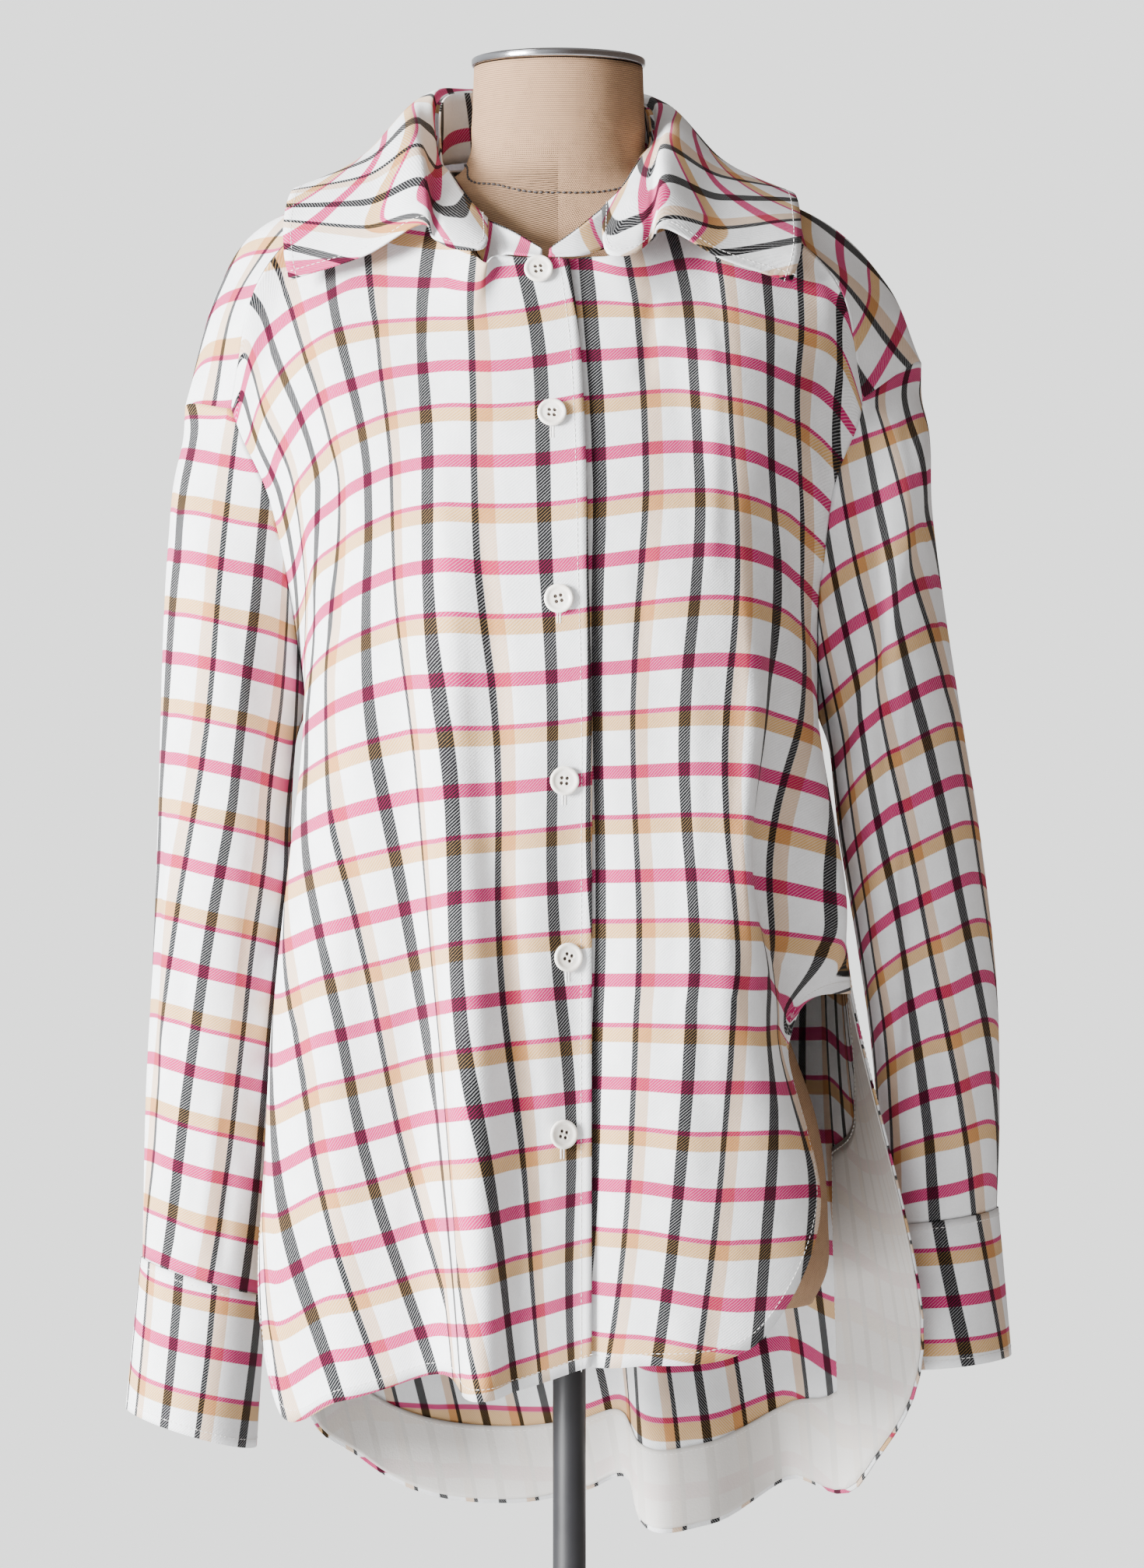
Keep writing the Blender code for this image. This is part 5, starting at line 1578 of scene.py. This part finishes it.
cap_foot = form_levels[-1] + TOUCH_GAP
cap_profile = [(CAP_RADIUS - inset, cap_foot + rise) for inset, rise in CAP_EDGE]
placed(turned("metal_cap", cap_profile, metal, 128, FORM_CENTRE), "dark_metal", "neck_cap")
foot = BASE_THICK + TOUCH_GAP
pole_profile = ((POLE_RADIUS - 0.5, FORM_BOTTOM - TOUCH_GAP),
                (POLE_RADIUS, FORM_BOTTOM - TOUCH_GAP - 0.5), (POLE_RADIUS, foot + 0.5),
                (POLE_RADIUS - 0.5, foot))
placed(turned("black_pole", pole_profile, lacquer, 64), "black_lacquer", "pole")
base_profile = [(BASE_RADIUS - inset, rise) for inset, rise in BASE_EDGE]
placed(turned("black_base", base_profile, lacquer, 128), "black_lacquer", "base")

# %% [markdown]
# ## Buttons
#
# Each button is turned from shell, with a raised rim and four drilled holes, and a dark blob
# in each hole is painted shade where it goes deep. The holes could be cut with booleans, but the
# dished face and its holes come from one height map here, so there is nothing to cut.

# %% The buttons
BUTTON_RADIUS = 8.5
BUTTON_HEIGHTS = (1275, 1167, 1062, 960, 858)
BUTTON_LINES = (-10, -6, -3, -1, -4)
TOP_BUTTON = (-18, 1361)
HOLE_RADIUS = 1.0
HOLE_APART = 1.55         # from the middle to each hole, across and down
HOLE_DEPTH = 1.55
HOLE_EDGE = 0.3           # the slope of a hole's edge
CORNERS = ((-1, -1), (-1, 1), (1, -1), (1, 1))
# the size and height of each blob of painted shade down a hole, in millimetres
HOLE_SHADE_SIZE = (0.8, 0.8, 0.5)
HOLE_SHADE_HEIGHT = 0.8
BUTTON_GAP = 1.0          # from the front's cloth to a button's back
BUTTON_ROUND = 72


def button_height(radius):
    """The height of the button's face at a distance from its middle, in millimetres."""
    knots = (0, 4.6, 5.6, 6.4, 7.2, 7.9, 8.35, BUTTON_RADIUS)
    heights = (1.75, 1.8, 1.95, 2.35, 2.6, 2.5, 2.15, 1.6)
    return np.interp(radius, knots, heights)


def button_mesh(name):
    """One button, its back on the plane z = 0."""
    radii = np.r_[np.linspace(0.12, 3.6, 20), np.linspace(3.8, BUTTON_RADIUS, 20)]
    spin = np.linspace(0, 2 * np.pi, BUTTON_ROUND, endpoint=False)
    rad, ang = np.meshgrid(radii, spin, indexing="ij")
    x, y = rad * np.cos(ang), rad * np.sin(ang)
    z = button_height(rad)
    for side, end in CORNERS:
        away = np.hypot(x - side * HOLE_APART, y - end * HOLE_APART)
        drilled = 1 - np.clip((away - HOLE_RADIUS + HOLE_EDGE / 2) / HOLE_EDGE, 0, 1)
        z = z - HOLE_DEPTH * drilled
    face = np.stack([x, y, z], axis=-1)
    rim = [np.stack([r * np.cos(spin), r * np.sin(spin), np.full(len(spin), h)], axis=1)
           for r, h in ((BUTTON_RADIUS, 1.2), (BUTTON_RADIUS - 0.5, 0.4), (7.1, 0.0))]
    return closed_solid(name, np.concatenate([face, rim]) * MM, None, shell)


def tree_of(piece):
    """A piece's faces, for finding places on it."""
    return BVHTree.FromPolygons([v.co for v in piece.data.vertices],
                                [p.vertices for p in piece.data.polygons])


def on_front(x, z):
    """The place on the right front at x and z, in millimetres, and the cloth's direction."""
    place, normal, _, _ = front_tree.ray_cast(Vector((x * MM, -1, z * MM)), Vector((0, 1, 0)))
    return place, normal if normal.y < 0 else -normal


def shade_in_holes(name, matrix):
    """Dark blobs down each of the button's four holes, painted shade where the holes go deep."""
    knots = bmesh.new()
    for side, end in CORNERS:
        knot = bmesh.ops.create_uvsphere(knots, u_segments=12, v_segments=8, radius=1)["verts"]
        bmesh.ops.scale(knots, vec=Vector(HOLE_SHADE_SIZE) * MM, verts=knot)
        middle = Vector((side * HOLE_APART, end * HOLE_APART, HOLE_SHADE_HEIGHT)) * MM
        bmesh.ops.translate(knots, vec=middle, verts=knot)
    knots.transform(matrix)
    mesh = bpy.data.meshes.new(name)
    knots.to_mesh(mesh)
    knots.free()
    mesh.shade_smooth()
    mesh.materials.append(hole_shade_blob)
    return placed(added(name, mesh), "linen")


front_tree = tree_of(made["front_right"])
button_places = [TOP_BUTTON, *zip(BUTTON_LINES, BUTTON_HEIGHTS)]
button_turns = (8, -5, 12, 3, -9, 6)      # no two are sewn on at the same angle
for number, ((x, z), tilt) in enumerate(zip(button_places, button_turns), start=1):
    place, normal = on_front(x, z)
    square = Vector((0, 0, 1)).rotation_difference(normal).to_matrix().to_4x4()
    upright = Matrix.Translation(place + normal * BUTTON_GAP * MM) @ square
    upright = upright @ Matrix.Rotation(math.radians(tilt), 4, "Z")
    button = button_mesh(f"shell_button_{number}")
    button.data.transform(upright)
    placed(button, "cream_shell", f"button_{number}")
    shade_in_holes(f"button_hole_shade_{number}", upright)
    print("button", number, "at height", round(place.z, 3))

# %% [markdown]
# ## Stitches
#
# Hems, the collar's edge and the buttonholes are all sewn, and so is the form's neck seam. A
# stitch repeats thousands of times, so one node group sets a thread's bead along any line,
# and each garment piece gives it the lines that it is sewn along.

# %% The stitching node group
def stitch_group():
    """Sets beads of thread along a line: spacing, length and thickness are inputs."""
    group = bpy.data.node_groups.new("stitches", "GeometryNodeTree")
    sockets = group.interface
    sockets.new_socket("Geometry", in_out="INPUT", socket_type="NodeSocketGeometry")
    for name, value in (("Spacing", 0.0032), ("Along", 0.0012), ("Across", 0.00028),
                        ("High", 0.00028)):
        socket = sockets.new_socket(name, in_out="INPUT", socket_type="NodeSocketFloat")
        socket.default_value = value
    sockets.new_socket("Thread", in_out="INPUT", socket_type="NodeSocketMaterial")
    sockets.new_socket("Seed", in_out="INPUT", socket_type="NodeSocketInt")
    sockets.new_socket("Geometry", in_out="OUTPUT", socket_type="NodeSocketGeometry")
    add = group.nodes.new
    start, end = add("NodeGroupInput"), add("NodeGroupOutput")
    curve, even = add("GeometryNodeMeshToCurve"), add("GeometryNodeResampleCurve")
    even.mode = "LENGTH"
    bead, shape = add("GeometryNodeMeshUVSphere"), add("GeometryNodeTransform")
    bead.inputs["Segments"].default_value = 5
    bead.inputs["Rings"].default_value = 4
    bead.inputs["Radius"].default_value = 1.0
    size, tangent = add("ShaderNodeCombineXYZ"), add("GeometryNodeInputTangent")
    align, lay = add("FunctionNodeAlignRotationToVector"), add("GeometryNodeInstanceOnPoints")
    uneven, real = add("FunctionNodeRandomValue"), add("GeometryNodeRealizeInstances")
    smooth, dye = add("GeometryNodeSetShadeSmooth"), add("GeometryNodeSetMaterial")
    uneven.data_type = "FLOAT_VECTOR"
    uneven.inputs[0].default_value = (0.9, 0.9, 0.85)
    uneven.inputs[1].default_value = (1.1, 1.1, 1.1)
    align.axis = "Z"
    links = ((start, "Geometry", curve, "Mesh"), (curve, "Curve", even, "Curve"),
             (start, "Spacing", even, "Length"), (start, "Across", size, "X"),
             (start, "High", size, "Y"), (start, "Along", size, "Z"),
             (bead, "Mesh", shape, "Geometry"), (size, "Vector", shape, "Scale"),
             (tangent, "Tangent", align, "Vector"), (even, "Curve", lay, "Points"),
             (shape, "Geometry", lay, "Instance"), (align, "Rotation", lay, "Rotation"),
             (start, "Seed", uneven, "Seed"), (uneven, 0, lay, "Scale"),
             (lay, "Instances", real, "Geometry"), (real, "Geometry", smooth, "Geometry"),
             (smooth, "Geometry", dye, "Geometry"), (start, "Thread", dye, "Material"),
             (dye, "Geometry", end, "Geometry"))
    for giver, output, taker, entry in links:
        group.links.new(giver.outputs[output], taker.inputs[entry])
    return group


def stitched(name, lines, thread, slot, **inputs):
    """The stitches along lines of points, as a piece of its own."""
    mesh = bpy.data.meshes.new(name + "_lines")
    points, edges = [], []
    for line in lines:
        edges += [(len(points) + i, len(points) + i + 1) for i in range(len(line) - 1)]
        points += [tuple(point) for point in line]
    mesh.from_pydata(points, edges, [])
    guide = added(name + "_guide", mesh)
    modifier = guide.modifiers.new("stitches", "NODES")
    modifier.node_group = stitches
    sockets = {item.name: item.identifier for item in stitches.interface.items_tree
               if item.in_out == "INPUT"}
    for key, value in {**inputs, "Thread": thread, "Seed": 7}.items():
        modifier[sockets[key]] = value
    guide.update_tag()
    seen = guide.evaluated_get(bpy.context.evaluated_depsgraph_get())
    result = bpy.data.meshes.new_from_object(seen)
    result.name = name
    guide.modifiers.remove(modifier)
    bpy.data.objects.remove(guide, do_unlink=True)
    return placed(added(name, result), slot)


def beside(grid, outward, side, inset, lift=0.1):
    """A line on the cloth, this many millimetres inside one of its edges."""
    lines, out = from_edge(grid, side), from_edge(outward, side)
    steps = np.linalg.norm(np.diff(lines, axis=0), axis=2)
    far = np.pad(np.cumsum(steps, axis=0), ((1, 0), (0, 0))) / MM
    at = np.array([np.interp(inset, far[:, i], np.arange(len(lines)))
                   for i in range(lines.shape[1])])
    low = np.minimum(at.astype(int), len(lines) - 2)
    part = (at - low)[:, None]
    column = np.arange(lines.shape[1])
    place = lines[low, column] * (1 - part) + lines[low + 1, column] * part
    return place + out[low, column] * lift * MM


# %% Sewing along the edges
TOPSTITCH = dict(Spacing=0.0033, Along=0.0013, Across=0.00024, High=0.0002)
FACING_INSET = 3          # from the facing's edge to its stitches, in millimetres
stitches = stitch_group()
sewing = {}
edges = dict(front_right=(("bottom", 7), ("first", 6)), front_left=(("bottom", 7),),
             cuff_right=(("bottom", 5), ("top", 4)), cuff_left=(("bottom", 5), ("top", 4)),
             collar_fall=(("first", 5), ("top", 5), ("bottom", 5)), back=(("bottom", 9),))
for name, sides in edges.items():
    lines = []
    for side, inset in sides:
        line = beside(grids[name], outward[name], side, inset)
        lines.append(np.concatenate([line, line[:1]]) if name.startswith("cuff") else line)
    sewing[name] = stitched("stitches_" + name, lines, white_thread, "white_facing", **TOPSTITCH)
facing_line = beside(facing_near[:, keep], facing_in[:, keep], "top", FACING_INSET)
sewing["back_facing"] = stitched("stitches_back_facing", [facing_line], white_thread,
                                 "white_facing", **TOPSTITCH)

# %% Sewing the buttonholes and the form's neck seam
BUTTONHOLE_SIDE = 0.8     # from a buttonhole's middle to each row of its stitches
BUTTONHOLE_TOP = 6        # how far above the button's middle it starts, and its length
BUTTONHOLE_LONG = 20
SEAM_TURN = 98            # the neck seam goes this many degrees round to each side
SEAM_LOW = 1411.0         # its lowest point, and how it climbs to the sides
SEAM_RISE = 22.0
SEAM_SPAN = 58.0
SEAM_MIDDLE = -3.0        # where it is lowest, across
SEAM_PROUD = 0.006        # its thread stands this share of the radius proud of the linen

slots = []
for x, z in button_places[1:]:
    for side in (-1, 1):
        run = [on_front(x + side * BUTTONHOLE_SIDE, z + BUTTONHOLE_TOP - BUTTONHOLE_LONG * step)
               for step in np.linspace(0, 1, BUTTONHOLE_LONG + 1)]
        slots.append([place + normal * 0.1 * MM for place, normal in run])
sewing["buttonholes"] = stitched("stitches_buttonholes", slots, white_thread, "white_facing",
                                 Spacing=0.0005, Along=0.00027, Across=0.0007, High=0.0003)

arc = np.radians(np.linspace(-SEAM_TURN, SEAM_TURN, 160))
seam_heights = np.full(len(arc), SEAM_LOW)
for _ in range(4):
    seam_x = form_ring(seam_heights, arc)[:, 0]
    climb = np.minimum(abs(seam_x - SEAM_MIDDLE) / SEAM_SPAN, 1.1) ** 3.2
    seam_heights = SEAM_LOW + SEAM_RISE * climb
neck_line = form_ring(seam_heights, arc) * MM
neck_line += (neck_line - [FORM_CENTRE * MM, 0, 0]) * [SEAM_PROUD, SEAM_PROUD, 0]
sewing["form"] = stitched("stitches_form", [neck_line], dark_thread, "black_lacquer",
                          Spacing=0.0034, Along=0.0014, Across=0.0008, High=0.0008)
print({name: len(piece.data.polygons) for name, piece in sewing.items()})

# %% [markdown]
# ## The cut pieces
# Each piece of cloth is listed with the flat size it was cut to, with its area where the cut is
# far from a rectangle, and with the piece that it lies over. The cloth lies on these with no more
# than the ease that a
# seam takes up.

# %% Listing the cloth's cuts
CUTS = dict(front_right=((0.37, 0.70), 0.185, "form_linen"),
            front_left=((0.33, 0.63), 0.148, "form_linen"),
            back=((0.78, 0.84), 0.38, "form_linen"), yoke=((0.48, 0.06), 0.0265, "form_linen"),
            sleeve_right=((0.47, 0.50), 0.128, "cloth_back"),
            sleeve_left=((0.50, 0.50), 0.127, "cloth_back"),
            cuff_right=((0.262, 0.09), None, "cloth_sleeve_right"),
            cuff_left=((0.262, 0.09), None, "cloth_sleeve_left"),
            collar_fall=((0.60, 0.14), 0.062, "cloth_collar_stand"),
            collar_stand=((0.45, 0.031), None, "cloth_back"),
            back_facing=((0.95, 0.12), 0.043, "cloth_back"))
for name, (flat, area, under) in CUTS.items():
    sewn_on = [sewing[name]] if name in sewing else []
    if name == "front_right":
        sewn_on.append(sewing["buttonholes"])

# %% [markdown]
# ## The studio
#
# The photograph was lit by a large soft lamp from the garment's right, with the room's own
# light around it. A room could be built of walls and panels. Here the world's colour changes
# with the direction instead, bright on the lamp's side and dim on the other, and one square
# lamp gives the folds their shadows.

# %% The studio
floor_mesh = bpy.data.meshes.new("floor")
floor_mesh.from_pydata([(-3, -3, -0.001), (3, -3, -0.001), (3, 3, -0.001), (-3, 3, -0.001)], [],
                       [(0, 1, 2, 3)])
floor_mesh.materials.append(plain_material("floor_paint", (0.8, 0.8, 0.8), 0.8, grain=0.05))
floor = added("floor", floor_mesh)
BACKDROP = 1.9            # how bright the room is behind the garment
LAMP_SIDE = (1.35, 1.4, 1.45)         # and its light from the other directions
FAR_SIDE = (0.24, 0.19, 0.16)
FROM_BELOW = (0.35, 0.3, 0.28)
FROM_ABOVE = (0.5, 0.47, 0.45)

world = bpy.data.worlds.new("studio")
bpy.context.scene.world = world
world.use_nodes = True
sky = Wire(world.node_tree, None)
side, ahead, up = sky.node("ShaderNodeTexCoord").axes()
around = side.between(-0.7, 0.45).mixed(LAMP_SIDE, FAR_SIDE)
around = up.between(-0.9, 0.3).mixed(FROM_BELOW, around)
around = up.between(0.35, 0.9).mixed(around, FROM_ABOVE)
tone = ahead.between(0.94, 0.98).mixed(around, (BACKDROP, BACKDROP * 1.01, BACKDROP))
world.node_tree.links.new(tone.socket, world.node_tree.nodes["Background"].inputs[0])


def softbox(name, place, aim, size, power):
    """A square lamp at a place, turned to shine on aim."""
    data = bpy.data.lights.new(name, "AREA")
    data.shape = "SQUARE"
    data.size = size
    data.energy = power
    lamp = added(name, data)
    lamp.location = place
    lamp.rotation_euler = (Vector(aim) - Vector(place)).to_track_quat("-Z", "Y").to_euler()


softbox("key", (-2.75, -1.9, 1.5), (0, 0, 1.1), 1.2, 640)
softbox("top", (-1.6, -0.9, 2.9), (0, 0, 1.1), 1.2, 30)
